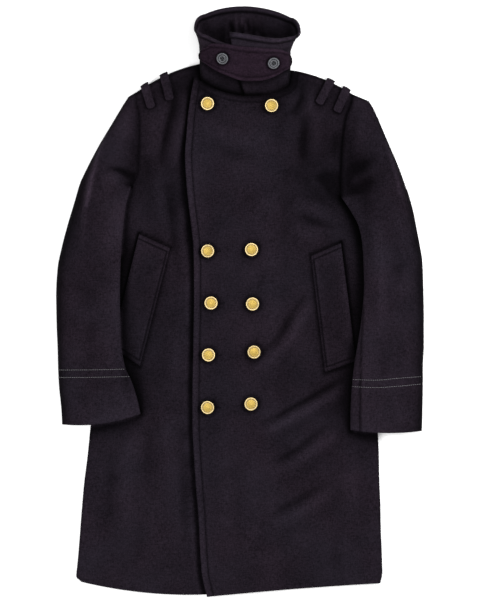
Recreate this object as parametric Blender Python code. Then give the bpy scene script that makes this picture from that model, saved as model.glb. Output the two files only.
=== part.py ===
"""A double-breasted wool coat that lies flat on its back, closed, with its sleeves along its sides.

The collar is towards +Y and the underside is at z = 0. Right and left are the wearer's, so the
coat's right front is at -X. Sizes and tables are in millimetres; the meshes are in metres.
"""

import math

import bpy
import numpy as np

MM = 0.001

# Cloth and seams
CLOTH = 2.8
COLLAR_CLOTH = 2.8
TAB_CLOTH = 3.2
WELT_CLOTH = 2.6
LOOP_CLOTH = 2.4
SEAM = 0.4
LAY = 0.6
LOOP_LAY = 0.7
TAB_LAY = 0.9
NECK_SEAM = 0.9
LAP_LAY = 0.9

# How the panels lie
RIM = CLOTH + 0.3
BODY_TOP = 9.0
EDGE_ROUND = 10.0
SETTLE_FROM = 8.0
SETTLE_TO = 70.0
UNDER_EDGE_X = 50.0
LAP_HOLD = 4.0
LAP_RUN = 46.0
COVERED_FROM = -135.0
COVERED_TO = -112.0
RAMP_FROM = -32.0
RAMP_TO = -5.0
EDGE_LIFT = 4.0
EDGE_LIFT_REACH = 26.0
EDGE_LIFT_LOW = 20.0
EDGE_LIFT_HIGH = 360.0
EDGE_LIFT_FADE = 110.0

# Rows and columns of the panels
HEAD_STEPS = (0.0, 0.08, 0.25, 0.6)
ARMPIT_STEPS = (7.5, 8.25, 8.5, 8.75)
ARMPIT_RISE = ((7.5, 0.0), (8.0, 0.6), (8.25, 1.0))
ARMPIT_LIFT = 1.6
NECK_STEPS = (1.5, 2.5, 3.5, 4.5, 5.5, 6.5)
ARMPIT_ROW = 8
SLEEVE_HEAD_ROWS = 12
SHOULDER_POINTS = 9
CREST_SHARE = 0.45
ARCH_POWER = 2.4
RIM_STEPS = (0.0, 1.2, 4.0, 10.0)
FRONT_COLUMNS = 12
LAP_FRONT_COLUMNS = 15
SLEEVE_COLUMNS = 12
UNDER_SLEEVE_COLUMNS = 7

# Collar
COLLAR_COLUMNS = 38
COLLAR_ROWS = 6
COLLAR_START = 290.0
COLLAR_END_BASE = -90.0
COLLAR_END_SLANT = -21.0
COLLAR_POINT_RISE = 0.1
COLLAR_UNDER_DROP = 0.11
COLLAR_ARCH = 0.3
COLLAR_FLAT = 0.6
COLLAR_LAP = COLLAR_CLOTH + 0.7
LAP_ANGLE_FROM = 28.0
LAP_ANGLE_TO = 60.0
POINT_ANGLE_FROM = 46.0
POINT_ANGLE_TO = 108.0
UNDER_ANGLE_FROM = 205.0
UNDER_ANGLE_TO = 250.0
TAB_DROP_FROM = 114.0
TAB_DROP_TO = 146.0

# Buttons
GOLD_SEGMENTS = 16
DARK_SEGMENTS = 16
BUTTON_LAY = 0.5

# Shoulder loops
LOOP_WIDTH = 17.0
LOOP_STAND = 3.4
LOOP_FOOT = 0.5
LOOP_TIP = 0.55
LOOP_TIP_RUN = 4.0
LOOP_TURN = 13.0
LOOP_COLUMNS = (-0.5, -0.2, 0.2, 0.5)

# The sections of each sleeve, from the shoulder to the cuff. The inner end of rows 0 to 8 is the
# armhole seam. Extra is the fullness over the body's level in the head, crest is the height of the
# free sleeve, bed is what the sleeve lies on where it crosses the body, and open is how far the
# section still opens into the armhole.
# outer_x, outer_y, inner_x, inner_y, extra, crest, bed, open, bow
SLEEVE_RIGHT = (
    (-223, 410, -209, 418, 0, 27, 0.0, 1.0, 0),
    (-234, 393, -208, 397, 3, 27, 0.0, 1.0, 0),
    (-246, 373, -204, 379, 7, 27, 0.0, 1.0, 0),
    (-264, 343, -202, 347, 12, 27, 0.0, 1.0, 0),
    (-282, 313, -203, 311, 16, 27, 0.0, 1.0, 0),
    (-298, 283, -204, 279, 18, 28, 0.0, 1.0, 0),
    (-311, 257, -207, 251, 18, 28, 0.0, 1.0, 0),
    (-319, 240, -215, 235, 18, 28, 9.9, 1.0, 0),
    (-322, 231, -218, 229, 18, 28, 9.9, 0.7, 0),
    (-333, 193, -228, 193, 18, 28, 9.9, 0.35, 0),
    (-345, 153, -233, 155, 18, 28, 10.4, 0.1, 0),
    (-357, 107, -237, 107, 18, 29, 12.7, 0.0, 0),
    (-365, 67, -239, 67, 18, 30, 12.7, 0.0, 0),
    (-368, 13, -240, 13, 18, 31, 12.7, 0.0, 0),
    (-367, -47, -239, -47, 18, 31, 12.7, 0.0, 0),
    (-365, -97, -236, -97, 18, 30, 12.7, 0.0, 0),
    (-364, -137, -229, -133, 18, 29, 12.7, 0.0, 0),
    (-362, -173, -218, -157, 18, 28, 11.2, 0.0, -3),
    (-359, -201, -209, -183, 18, 28, 10.0, 0.0, -5),
    (-357, -225, -203, -205, 18, 27, 10.0, 0.0, -7),
    (-356, -246, -199, -225, 18, 26, 10.0, 0.0, -9),
)
SLEEVE_LEFT = (
    (258, 401, 227, 414, 0, 27, 0.0, 1.0, 0),
    (266, 388, 221, 391, 3, 27, 0.0, 1.0, 0),
    (276, 367, 213, 369, 7, 27, 0.0, 1.0, 0),
    (287, 341, 208, 343, 12, 27, 0.0, 1.0, 0),
    (299, 313, 205, 311, 16, 27, 0.0, 1.0, 0),
    (312, 283, 203, 279, 18, 28, 0.0, 1.0, 0),
    (323, 255, 202, 249, 18, 28, 0.0, 1.0, 0),
    (332, 229, 202, 215, 18, 28, 9.9, 1.0, 0),
    (336, 219, 203, 208, 18, 28, 9.9, 0.7, 0),
    (347, 179, 222, 180, 18, 28, 9.9, 0.3, 0),
    (353, 149, 237, 151, 18, 29, 10.4, 0.0, 0),
    (359, 117, 244, 119, 18, 30, 12.7, 0.0, 0),
    (365, 79, 247, 79, 18, 31, 12.7, 0.0, 0),
    (367, 27, 248, 27, 18, 31, 12.7, 0.0, 0),
    (368, -33, 243, -33, 18, 31, 12.7, 0.0, 0),
    (368, -87, 235, -87, 18, 30, 12.7, 0.0, 0),
    (366, -129, 228, -129, 18, 29, 12.7, 0.0, 0),
    (366, -167, 224, -167, 18, 29, 11.2, 0.0, 0),
    (365.5, -197, 222, -197, 18, 28, 10.0, 0.0, -1),
    (365, -227, 221, -227, 18, 28, 10.0, 0.0, -3),
    (364, -259, 221, -257, 18, 27, 10.0, 0.0, -5),
)

# Where the upper rows of each front meet the collar, as angles on the collar's base, and then where
# the rows down to the armpit end on the front edge.
NECK_ANGLES_RIGHT = (182, 198, 216, 238, 256, 270, 280, 287)
NECK_ANGLES_LEFT = (-2, -18, -42, -72, -108, -143)
# edge_x, edge_y
UPPER_EDGE_RIGHT = ()
UPPER_EDGE_LEFT = ((-92, 446), (-98, 414))

# The rows of each front from the armpit to the hem, from the side to the front edge.
# side_x, side_y, edge_x, edge_y, bow
FRONT_RIGHT = (
    (-218, 229, 50, 330, 0),
    (-238, 217, 50, 280, 0),
    (-254, 197, 50, 235, 0),
    (-262, 163, 50, 185, 0),
    (-268, 103, 50, 115, 0),
    (-272, 53, 50, 60, 0),
    (-276, -7, 50, -2, 0),
    (-281, -67, 50, -63, 0),
    (-286, -127, 50, -125, 0),
    (-292, -187, 50, -187, 0),
    (-299, -247, 50, -250, 0),
    (-305, -307, 50, -312, 0),
    (-312, -363, 50, -374, 0),
    (-317, -419, 50, -435, 0),
    (-321, -471, 50, -494, -5),
    (-325, -519, 50, -546, -10),
    (-328, -549, 50, -566, -15),
    (-318, -561, 50, -574, -19),
)
FRONT_LEFT = (
    (203, 208, -104, 372, 0),
    (226, 188, -107, 335, 0),
    (246, 166, -110, 292, 0),
    (260, 140, -108, 250, 0),
    (269, 104, -104, 205, 0),
    (272, 58, -98, 155, 0),
    (273, 4, -93, 105, 0),
    (274, -50, -92, 52, 0),
    (274, -102, -92, -4, 0),
    (274, -154, -93, -62, 0),
    (275, -205, -94, -122, 0),
    (276, -256, -95, -182, 0),
    (278, -306, -95, -245, 0),
    (279, -356, -92, -308, 0),
    (281, -406, -88, -370, 0),
    (282, -456, -83, -430, 0),
    (284, -506, -80, -490, 0),
    (285, -541, -76, -545, 0),
    (281, -564, -66, -591, 2),
)
SHOULDER_BOW = 8.0

# Broad swellings of the cloth: where shoulder pads, chest and collar hold it up.
# x, y, reach_x, reach_y, height
SWELLS = (
    (-150, 330, 70, 90, 5.0),
    (150, 320, 72, 90, 5.0),
    (10, 455, 100, 60, 6.0),
    (-190, -420, 60, 110, 2.0),
    (120, -470, 90, 80, 2.0),
)
# The largest folds, as ridges and hollows along a line.
# start_x, start_y, end_x, end_y, width, height
FOLDS_RIGHT = (
    (-110, 390, -128, 290, 16, 3.0),
    (-130, 403, -158, 280, 14, -2.2),
    (-142, 250, -136, 205, 16, -2.2),
    (-170, 255, -168, 212, 16, 3.0),
    (-180, -237, -180, -400, 22, -2.2),
    (-225, -292, -228, -440, 24, 3.0),
    (-138, -230, -136, -430, 20, 2.5),
)
FOLDS_LEFT = (
    (126, 385, 124, 290, 15, -2.2),
    (154, 395, 150, 280, 18, 3.0),
    (98, 370, 94, 270, 16, 2.5),
    (146, 240, 184, 222, 16, 3.5),
    (120, 172, 190, 158, 13, -2.2),
    (110, 198, 180, 184, 14, 3.0),
    (122, -30, 80, -98, 14, 4.5),
    (104, 0, 72, -60, 12, -2.2),
    (188, -192, 85, -252, 14, 6.5),
    (182, -164, 85, -224, 13, -2.4),
    (178, -268, 90, -336, 15, 5.0),
    (170, -244, 90, -304, 13, -2.2),
    (176, -388, 90, -436, 16, 4.5),
    (168, -364, 90, -408, 13, -2.2),
)

# The collar's rings from its base to its mouth.
# height, centre_x, half_width, centre_y, back_depth, front_depth, skew, half_rise
COLLAR_RINGS = (
    (0.0, 10, 91.0, 471, 12, 58, -6.0, 8.0),
    (0.5, 10, 91.0, 503, 28, 39, -5.0, 17.0),
    (0.8, 11, 97.0, 527, 38, 28, -4.4, 22.0),
    (1.0, 15, 107.0, 543, 48, 20, -4.0, 26.0),
)
# The throat tab across the collar, from the wearer's right to the left.
# angle, lower, upper
TAB_SECTIONS = (
    (-160, 0.40, 0.51),
    (-154, 0.42, 0.59),
    (-148, 0.43, 0.67),
    (-140, 0.41, 0.78),
    (-132, 0.39, 0.86),
    (-112, 0.35, 0.90),
    (-90, 0.29, 0.89),
    (-70, 0.29, 0.87),
    (-50, 0.33, 0.82),
    (-34, 0.36, 0.71),
    (-22, 0.36, 0.57),
    (-14, 0.36, 0.47),
)
TAB_ROWS = 5

# The welt over each slanted pocket, from the top outer corner round to the lower outer corner.
# x, y
WELT_RIGHT = ((-202, 135), (-140, 107), (-200, -129), (-258, -93))
WELT_LEFT = ((202, 117), (142, 91), (170, -141), (232, -119))
WELT_COLUMNS = 5
WELT_ROWS = 10

# The sewn end of each shoulder loop, and where it crosses the shoulder.
# sewn_x, sewn_y, top_x, top_y
SHOULDER_LOOPS = (
    (-177, 387, -192, 435),
    (-140, 403, -153, 455),
    (157, 395, 183, 445),
    (193, 379, 216, 431),
)

# Where the front buttons sit, in five rows of two.
# x, y
GOLD_BUTTONS = (
    (-65, 396),
    (63, 392),
    (-65, 101),
    (23, 104),
    (-58, -3),
    (25, -5),
    (-63, -107),
    (28, -101),
    (-65, -212),
    (22, -205),
)
# The turned form of a shank button: a flat back, a raised rim and a low dome.
# radius, height
GOLD_PROFILE = (
    (2.6, 0.0),
    (2.6, 2.4),
    (13.0, 2.9),
    (14.3, 3.8),
    (14.0, 5.0),
    (12.4, 5.0),
    (11.6, 4.7),
    (7.0, 6.4),
)
GOLD_CROWN = 7.2
# The tab's buttons: where they sit on the collar, and their turned form with a sunk middle.
# angle, height
TAB_BUTTONS = ((-118.0, 0.645), (-54.0, 0.585))
# radius, height
DARK_PROFILE = ((9.4, 0.0), (11.5, 1.3), (11.5, 2.6), (10.2, 3.6), (7.6, 2.7))
DARK_CROWN = 2.6

# Colours and finishes: red, green, blue, roughness, metallic
WOOL = (0.016, 0.014, 0.020, 0.92, 0.0)
WOOL_BACK = (0.014, 0.012, 0.018, 0.94, 0.0)
GOLD = (0.83, 0.56, 0.17, 0.28, 1.0)
DARK_HORN = (0.022, 0.023, 0.027, 0.32, 0.0)


def smooth(value, low, high):
    t = np.clip((np.asarray(value, float) - low) / (high - low), 0.0, 1.0)
    return t * t * (3.0 - 2.0 * t)


def quarter(value):
    """The height of a quarter circle at this share of its width."""
    t = np.clip(np.asarray(value, float), 0.0, 1.0)
    return np.sqrt(1.0 - (1.0 - t) ** 2)


def rows_at(table, steps):
    """Rows of a table at whole and part steps."""
    table = np.array(table, float)
    count = np.arange(len(table))
    return np.stack([np.interp(steps, count, column) for column in table.T], axis=1)


def steps_of(count, extra=()):
    whole = [float(i) for i in range(1, count)]
    return sorted(set(HEAD_STEPS) | set(whole) | set(extra))


def to_segment(x, y, ax, ay, bx, by):
    """The distance of points from a straight line."""
    dx, dy = bx - ax, by - ay
    t = np.clip(((x - ax) * dx + (y - ay) * dy) / max(dx * dx + dy * dy, 1e-9), 0.0, 1.0)
    return np.hypot(x - ax - t * dx, y - ay - t * dy)


def to_line(x, y, line):
    found = np.full(np.shape(x), 1e9)
    for a, b in zip(line[:-1], line[1:]):
        found = np.minimum(found, to_segment(x, y, *a, *b))
    return found


def row_points(row, shares):
    """Plan points along a row that runs from outer to inner, bowed in its middle."""
    ox, oy, ix, iy, bow = row
    x = ox + (ix - ox) * shares
    y = oy + (iy - oy) * shares + bow * 4.0 * shares * (1.0 - shares)
    return x, y


def rim_shares(length, count, both):
    """Shares along a row, close together at a folded edge and even between."""
    near = np.array(RIM_STEPS) * min(1.0, length / 60.0) / length
    if both:
        middle = np.linspace(near[-1], 1.0 - near[-1], count - 2 * len(near) + 2)
        return np.concatenate([near[:-1], middle, 1.0 - near[:-1][::-1]])
    return np.concatenate([near[:-1], np.linspace(near[-1], 1.0, count - len(near) + 1)])


def ring_values(height):
    table = np.array(COLLAR_RINGS, float)
    top = np.minimum(height, 1.0)
    values = [np.interp(top, table[:, 0], column) for column in table.T[1:]]
    slope = (table[-1, 1:] - table[-2, 1:]) / (table[-1, 0] - table[-2, 0])
    return [v + s * np.maximum(height - 1.0, 0.0) for v, s in zip(values, slope)]


def collar_point(angle, height):
    """A point of the collar's outside. Angle 0 is the wearer's left, 90 the back, -90 the front."""
    centre_x, half_width, centre_y, back, front, skew, rise = ring_values(height)
    c, s = np.cos(np.radians(angle)), np.sin(np.radians(angle))
    arched = rise * (1.0 - COLLAR_ARCH * c * c)
    turn = np.clip(s / COLLAR_FLAT, -1.0, 1.0)
    straight = np.minimum(1.0, np.abs(c) / math.sqrt(1.0 - COLLAR_FLAT**2))
    out = (half_width - arched) * straight + arched * np.sqrt(1.0 - turn**2)
    x = centre_x + np.sign(c) * out
    y = centre_y + np.where(s > 0, back, front) * s + skew * c
    return np.stack([x, y, arched * (1.0 - turn)], axis=-1)


def collar_out(angle, height, away):
    """A point of the collar's outside, moved out along the surface's normal."""
    step_a, step_h = 2.0, 0.04
    along = collar_point(angle + step_a, height) - collar_point(angle - step_a, height)
    up = collar_point(angle, height + step_h) - collar_point(angle, height - step_h)
    normal = np.cross(along, up)
    normal = normal / np.linalg.norm(normal, axis=-1, keepdims=True)
    return collar_point(angle, height) + normal * np.asarray(away, float)[..., None], normal


def collar_lap(angle):
    """How far the end on top lies out from the end beneath it."""
    return COLLAR_LAP * smooth(-np.asarray(angle, float), LAP_ANGLE_FROM, LAP_ANGLE_TO)


def neck_point(angle):
    """A point of a front's neck edge, just clear of the collar's base."""
    here = collar_point(float(angle), 0.0)
    centre = np.array([COLLAR_RINGS[0][1], COLLAR_RINGS[0][3] - 10.0])
    away = here[:2] - centre
    return here[:2] + away / np.linalg.norm(away) * NECK_SEAM


def front_rows(side, sleeve, neck_angles, upper_edge, table, steps):
    """The rows of a front: its armhole rows run to the neck, the others to the front edge."""
    armhole = rows_at(sleeve, steps)
    last = len(neck_angles) - 1
    angles = np.interp(steps, np.arange(last + 1), neck_angles)
    seamed = np.array(table, float)
    seamed[0, 0] -= side * SEAM
    lower = rows_at(seamed, np.maximum(np.array(steps) - ARMPIT_ROW, 0.0))
    below_neck = [tuple(neck_point(neck_angles[-1])), *upper_edge, tuple(seamed[0, 2:4])]
    rows = []
    for i, step in enumerate(steps):
        if step >= ARMPIT_ROW:
            rows.append(lower[i])
            continue
        edge = neck_point(angles[i])
        if step > last:
            edge = rows_at(below_neck, [step - last])[0]
        bow = SHOULDER_BOW * max(1.0 - step, 0.0)
        rows.append((armhole[i, 2] - side * SEAM, armhole[i, 3], edge[0], edge[1], bow))
    return np.array(rows, float)


STEPS_RIGHT = steps_of(len(FRONT_RIGHT) + ARMPIT_ROW, ARMPIT_STEPS + NECK_STEPS)
STEPS_LEFT = steps_of(len(FRONT_LEFT) + ARMPIT_ROW, ARMPIT_STEPS + NECK_STEPS)
STEPS_SLEEVE = steps_of(len(SLEEVE_RIGHT), ARMPIT_STEPS)
ROWS_RIGHT = front_rows(-1, SLEEVE_RIGHT, NECK_ANGLES_RIGHT, UPPER_EDGE_RIGHT, FRONT_RIGHT, STEPS_RIGHT)
ROWS_LEFT = front_rows(1, SLEEVE_LEFT, NECK_ANGLES_LEFT, UPPER_EDGE_LEFT, FRONT_LEFT, STEPS_LEFT)


def folded_lines():
    """The edges where the cloth turns over: shoulders, the sleeves' heads and the body's sides."""
    lines = []
    halves = ((ROWS_RIGHT, STEPS_RIGHT, SLEEVE_RIGHT), (ROWS_LEFT, STEPS_LEFT, SLEEVE_LEFT))
    for rows, steps, sleeve in halves:
        x, y = row_points(rows[0], np.linspace(1.0, 0.0, SHOULDER_POINTS))
        head = [(row[0], row[1]) for row in sleeve[:SLEEVE_HEAD_ROWS]]
        lines.append(list(zip(x, y)) + head)
        lines.append([(row[0], row[1]) for row, step in zip(rows, steps) if step >= ARMPIT_ROW])
    return lines


FOLDED = folded_lines()
SIDE_RIGHT = np.array(FOLDED[1])
SIDE_LEFT = np.array(FOLDED[3])
FRONT_EDGE = [*UPPER_EDGE_LEFT, *((row[2], row[3]) for row in FRONT_LEFT)]


def folds_at(x, y, folds):
    height = np.zeros(np.shape(x))
    for ax, ay, bx, by, width, rise in folds:
        height += rise * np.exp(-((to_segment(x, y, ax, ay, bx, by) / width) ** 2))
    return height


def level(x, y):
    """The outside of the cloth that lies on the back, before its own folds."""
    edge = np.full(np.shape(x), 1e9)
    for line in FOLDED:
        edge = np.minimum(edge, to_line(x, y, line))
    swell = np.zeros(np.shape(x))
    for cx, cy, reach_x, reach_y, rise in SWELLS:
        swell += rise * np.exp(-(((x - cx) / reach_x) ** 2) - ((y - cy) / reach_y) ** 2)
    settled = smooth(edge, SETTLE_FROM, SETTLE_TO)
    return RIM + (BODY_TOP - RIM) * quarter(edge / EDGE_ROUND) + swell * settled, settled


def right_top(x, y):
    """The outside of the front beneath. Its folds fade out under the other front."""
    height, settled = level(x, y)
    shown = 1.0 - smooth(x, COVERED_FROM, COVERED_TO)
    return height + folds_at(x, y, FOLDS_RIGHT) * settled * shown


def left_top(x, y):
    """The outside of the front on top, which steps up where it lies on the other front."""
    height, settled = level(x, y)
    clear = smooth(x, UNDER_EDGE_X + LAP_HOLD, UNDER_EDGE_X + LAP_RUN)
    lap = (CLOTH + LAP_LAY) * (1.0 - clear)
    fold = folds_at(x, y, FOLDS_LEFT) * settled
    fold = np.where(fold < 0, fold * clear, fold)
    near = np.exp(-((to_line(x, y, FRONT_EDGE) / EDGE_LIFT_REACH) ** 2))
    starts = smooth(y, EDGE_LIFT_LOW, EDGE_LIFT_LOW + EDGE_LIFT_FADE)
    ends = 1.0 - smooth(y, EDGE_LIFT_HIGH - EDGE_LIFT_FADE, EDGE_LIFT_HIGH)
    return height + lap + fold + EDGE_LIFT * near * starts * ends


def material(name, finish):
    red, green, blue, rough, metal = finish
    made = bpy.data.materials.new(name + "_finish")
    made.use_nodes = True
    shader = made.node_tree.nodes["Principled BSDF"]
    shader.inputs["Base Color"].default_value = (red, green, blue, 1.0)
    shader.inputs["Roughness"].default_value = rough
    shader.inputs["Metallic"].default_value = metal
    made.diffuse_color = (red, green, blue, 1.0)
    return made


def mesh_object(name, points, faces, finish):
    mesh = bpy.data.meshes.new(name)
    mesh.from_pydata([tuple(float(v) * MM for v in p) for p in points], [], faces)
    mesh.update()
    mesh.materials.append(material(name, finish))
    made = bpy.data.objects.new(name, mesh)
    bpy.context.scene.collection.objects.link(made)
    return made


def wall(name, outside, inside, finish):
    """A closed wall between two grids of points."""
    rows, columns = outside.shape[:2]
    points = np.concatenate([outside.reshape(-1, 3), inside.reshape(-1, 3)])
    offset = rows * columns
    faces = []
    for i in range(rows - 1):
        for j in range(columns - 1):
            a, b = i * columns + j, i * columns + j + 1
            c, d = a + columns, b + columns
            faces.append((a, b, d, c))
            faces.append((a + offset, c + offset, d + offset, b + offset))
    border = [j for j in range(columns)]
    border += [i * columns + columns - 1 for i in range(1, rows)]
    border += [(rows - 1) * columns + j for j in range(columns - 2, -1, -1)]
    border += [i * columns for i in range(rows - 2, 0, -1)]
    for a, b in zip(border, border[1:] + border[:1]):
        faces.append((b, a, a + offset, b + offset))
    normal = np.cross(outside[1:, :-1] - outside[:-1, :-1], outside[:-1, 1:] - outside[:-1, :-1])
    gap = outside - inside
    if (normal * gap[:-1, :-1]).sum() > 0:
        faces = [tuple(reversed(face)) for face in faces]
    return mesh_object(name, points, faces, finish)


def grid_normals(grid):
    """Normals of a grid of points that face up."""
    down = np.gradient(grid, axis=0)
    across = np.gradient(grid, axis=1)
    normal = np.cross(across, down)
    normal = normal / np.linalg.norm(normal, axis=2, keepdims=True)
    return np.where(normal[..., 2:3] < 0, -normal, normal)


def along_edge(normal, line):
    """Normals on an edge of a panel, kept in the upright plane along that edge."""
    run = np.gradient(line, axis=0)
    across = np.stack([-run[:, 1], run[:, 0], np.zeros(len(run))], axis=1)
    across = across / np.linalg.norm(across, axis=1, keepdims=True)
    return normal - across * (normal * across).sum(axis=1, keepdims=True)


def thicken(grid, rim, cut_columns, thickness, floor):
    """The inside of a panel. A rim stands upright, and a cut edge goes down in its own plane."""
    normal = grid_normals(grid)
    for column, rows in cut_columns:
        normal[rows, column] = along_edge(normal[:, column], grid[:, column])[rows]
    normal[-1, :] = along_edge(normal[-1, :], grid[-1, :])
    normal[..., 2] = np.where(rim, 0.0, normal[..., 2])
    normal = normal / np.maximum(np.linalg.norm(normal, axis=2, keepdims=True), 1e-9)
    inside = grid - normal * thickness
    inside[..., 2] = np.maximum(inside[..., 2], floor)
    return inside


def front_panel(name, rows, steps, columns, top):
    """A front: the shoulder row and the side column are folded rims, its other edges are cut."""
    grid = np.zeros((len(rows), columns, 3))
    for i, row in enumerate(rows):
        length = math.hypot(row[2] - row[0], row[3] - row[1])
        x, y = row_points(row, rim_shares(length, columns, False))
        grid[i, :, 0] = x
        grid[i, :, 1] = y
    grid[..., 2] = top(grid[..., 0], grid[..., 1])
    folded = np.array(steps) >= ARMPIT_ROW
    rim = np.zeros(grid.shape[:2], bool)
    rim[0, :] = True
    rim[folded, 0] = True
    cut = ((0, ~folded), (-1, np.ones(len(rows), bool)))
    return wall(name, grid, thicken(grid, rim, cut, CLOTH, RIM), WOOL)


def sleeve_plan(table, columns, both):
    plan = np.zeros((len(table), columns, 2))
    share = np.zeros((len(table), columns))
    for i, row in enumerate(table):
        length = math.hypot(row[2] - row[0], row[3] - row[1])
        share[i] = rim_shares(length, columns, True) if both else np.linspace(0.0, 1.0, columns)
        plan[i, :, 0], plan[i, :, 1] = row_points((*row[:4], row[8]), share[i])
    return plan, share


def bed_of(row, step, x, y, side_line, side):
    """The underside of a sleeve: on the surface, then up over the body's side."""
    rise = np.interp(step, *np.array(ARMPIT_RISE).T)
    order = np.argsort(side_line[:, 1])
    edge_x = np.interp(y, side_line[order, 1], side_line[order, 0])
    return rise * row[6] * smooth((edge_x - x) * side, RAMP_FROM, RAMP_TO)


def sleeve_pair(name, sections, steps, side_line, side):
    """The under sleeve lies flat and crosses the body's side; the top sleeve arches over it."""
    table = rows_at(sections, steps)
    plan, share = sleeve_plan(table, UNDER_SLEEVE_COLUMNS, False)
    under = np.zeros((*plan.shape[:2], 3))
    under[..., :2] = plan
    for i, row in enumerate(table):
        under[i, :, 2] = bed_of(row, steps[i], plan[i, :, 0], plan[i, :, 1], side_line, side)
    wall(name + "_under", under + np.array([0.0, 0.0, CLOTH]), under, WOOL_BACK)

    plan, share = sleeve_plan(table, SLEEVE_COLUMNS, True)
    grid = np.zeros((*plan.shape[:2], 3))
    grid[..., :2] = plan
    for i, row in enumerate(table):
        extra, crest, _, opened = row[4:8]
        s = share[i]
        x, y = plan[i, :, 0], plan[i, :, 1]
        past = np.clip((s - CREST_SHARE) / (1.0 - CREST_SHARE), 0.0, 1.0)
        fall = 0.5 * (1.0 + np.cos(math.pi * past))
        swell = np.where(s < CREST_SHARE, quarter(s / CREST_SHARE), fall)
        if steps[i] < ARMPIT_ROW:
            lift = ARMPIT_LIFT if steps[i] > ARMPIT_ROW - 1 else 0.0
            grid[i, :, 2] = level(x, y)[0] + extra * swell + lift * smooth(s, 0.0, 0.5)
            continue
        rest = bed_of(row, steps[i], x, y, side_line, side)
        bed = rest[-1]
        base = RIM + bed * s
        arch = np.sqrt(np.maximum(1.0 - np.abs(2.0 * s - 1.0) ** ARCH_POWER, 0.0))
        closed = base + (crest - RIM - bed * 0.5) * arch
        loose = base + (crest - RIM - bed * 0.5) * swell
        from_rim = (1.0 - s) * math.hypot(row[2] - row[0], row[3] - row[1])
        least = RIM + rest + (CLOTH + 2.0 * SEAM) * quarter(from_rim / RIM_STEPS[2])
        grid[i, :, 2] = np.maximum(closed * (1.0 - opened) + loose * opened, least)
    folded = np.array(steps) >= ARMPIT_ROW
    rim = np.zeros(grid.shape[:2], bool)
    rim[:, 0] = True
    rim[0, :] = True
    rim[folded, -1] = True
    inside = thicken(grid, rim, ((-1, ~folded),), CLOTH, RIM)
    wall(name + "_top", grid, inside, WOOL)


def back_panel():
    """The back, one plain panel on the surface, cut to the body's outline."""
    outline = []
    x, y = row_points(ROWS_RIGHT[0], np.linspace(1.0, 0.0, 7))
    outline += list(zip(x, y))
    outline += [(row[0], row[1]) for row in ROWS_RIGHT[1:]]
    x, y = row_points(ROWS_RIGHT[-1], np.linspace(0.06, 0.64, 7))
    outline += list(zip(x, y + 2.0))
    x, y = row_points(ROWS_LEFT[-1], np.linspace(0.96, 0.03, 8))
    outline += list(zip(x, y + 2.0))
    outline += [(row[0], row[1]) for row in ROWS_LEFT[:0:-1]]
    x, y = row_points(ROWS_LEFT[0], np.linspace(0.0, 1.0, 7))
    outline += list(zip(x, y))
    for angle in np.linspace(20.0, 160.0, 10):
        here = collar_point(float(angle), 0.0)
        outline.append((here[0], here[1] - 2.0 * NECK_SEAM))
    count = len(outline)
    points = [(px, py, 0.0) for px, py in outline] + [(px, py, CLOTH) for px, py in outline]
    faces = [tuple(range(count - 1, -1, -1)), tuple(range(count, 2 * count))]
    for i in range(count):
        k = (i + 1) % count
        faces.append((i, k, k + count, i + count))
    mesh_object("back", points, faces, WOOL_BACK)


def collar():
    """One strip round the neck: the right end lies beneath, the slanted left end on top."""
    share = np.linspace(0.0, 1.0, COLLAR_COLUMNS)
    height = np.linspace(0.0, 1.0, COLLAR_ROWS)
    end = COLLAR_END_BASE + COLLAR_END_SLANT * height
    angle = COLLAR_START + (end[:, None] - COLLAR_START) * share[None, :]
    rise = 1.0 + COLLAR_POINT_RISE * smooth(-angle, POINT_ANGLE_FROM, POINT_ANGLE_TO)
    rise = rise - COLLAR_UNDER_DROP * smooth(angle, UNDER_ANGLE_FROM, UNDER_ANGLE_TO)
    tall = height[:, None] * rise
    lap = collar_lap(angle)
    outside, _ = collar_out(angle, tall, lap)
    inside, _ = collar_out(angle, tall, lap - COLLAR_CLOTH)
    outside[..., 2] = np.maximum(outside[..., 2], 0.0)
    inside[..., 2] = np.maximum(inside[..., 2], COLLAR_CLOTH * 0.9)
    wall("collar", outside, inside, WOOL)


def tab_away(angle):
    """How far the tab lies out from the collar: over its end on top, then down beside it."""
    beyond = smooth(-np.asarray(angle, float), TAB_DROP_FROM, TAB_DROP_TO)
    return collar_lap(angle) * (1.0 - beyond) + TAB_LAY


def throat_tab():
    sections = np.array(TAB_SECTIONS, float)
    across = np.linspace(0.0, 1.0, TAB_ROWS)
    steps = np.linspace(0.0, len(sections) - 1.0, 2 * len(sections) - 1)
    rows = rows_at(sections, steps)
    angle = np.repeat(rows[:, 0:1], TAB_ROWS, axis=1)
    height = rows[:, 1:2] + (rows[:, 2:3] - rows[:, 1:2]) * across[None, :]
    away = tab_away(angle)
    inside, _ = collar_out(angle, height, away)
    outside, _ = collar_out(angle, height, away + TAB_CLOTH)
    wall("throat_tab", outside, inside, WOOL)


def welt(name, corners, top):
    a, b, c, d = [np.array(corner, float) for corner in corners]
    down = np.linspace(0.0, 1.0, WELT_ROWS)[:, None, None]
    across = np.linspace(0.0, 1.0, WELT_COLUMNS)[None, :, None]
    plan = (a + (b - a) * across) * (1.0 - down) + (d + (c - d) * across) * down
    inside = np.zeros((WELT_ROWS, WELT_COLUMNS, 3))
    inside[..., :2] = plan
    inside[..., 2] = top(plan[..., 0], plan[..., 1]) + LAY
    wall(name, inside + np.array([0.0, 0.0, WELT_CLOTH]), inside, WOOL)


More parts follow.
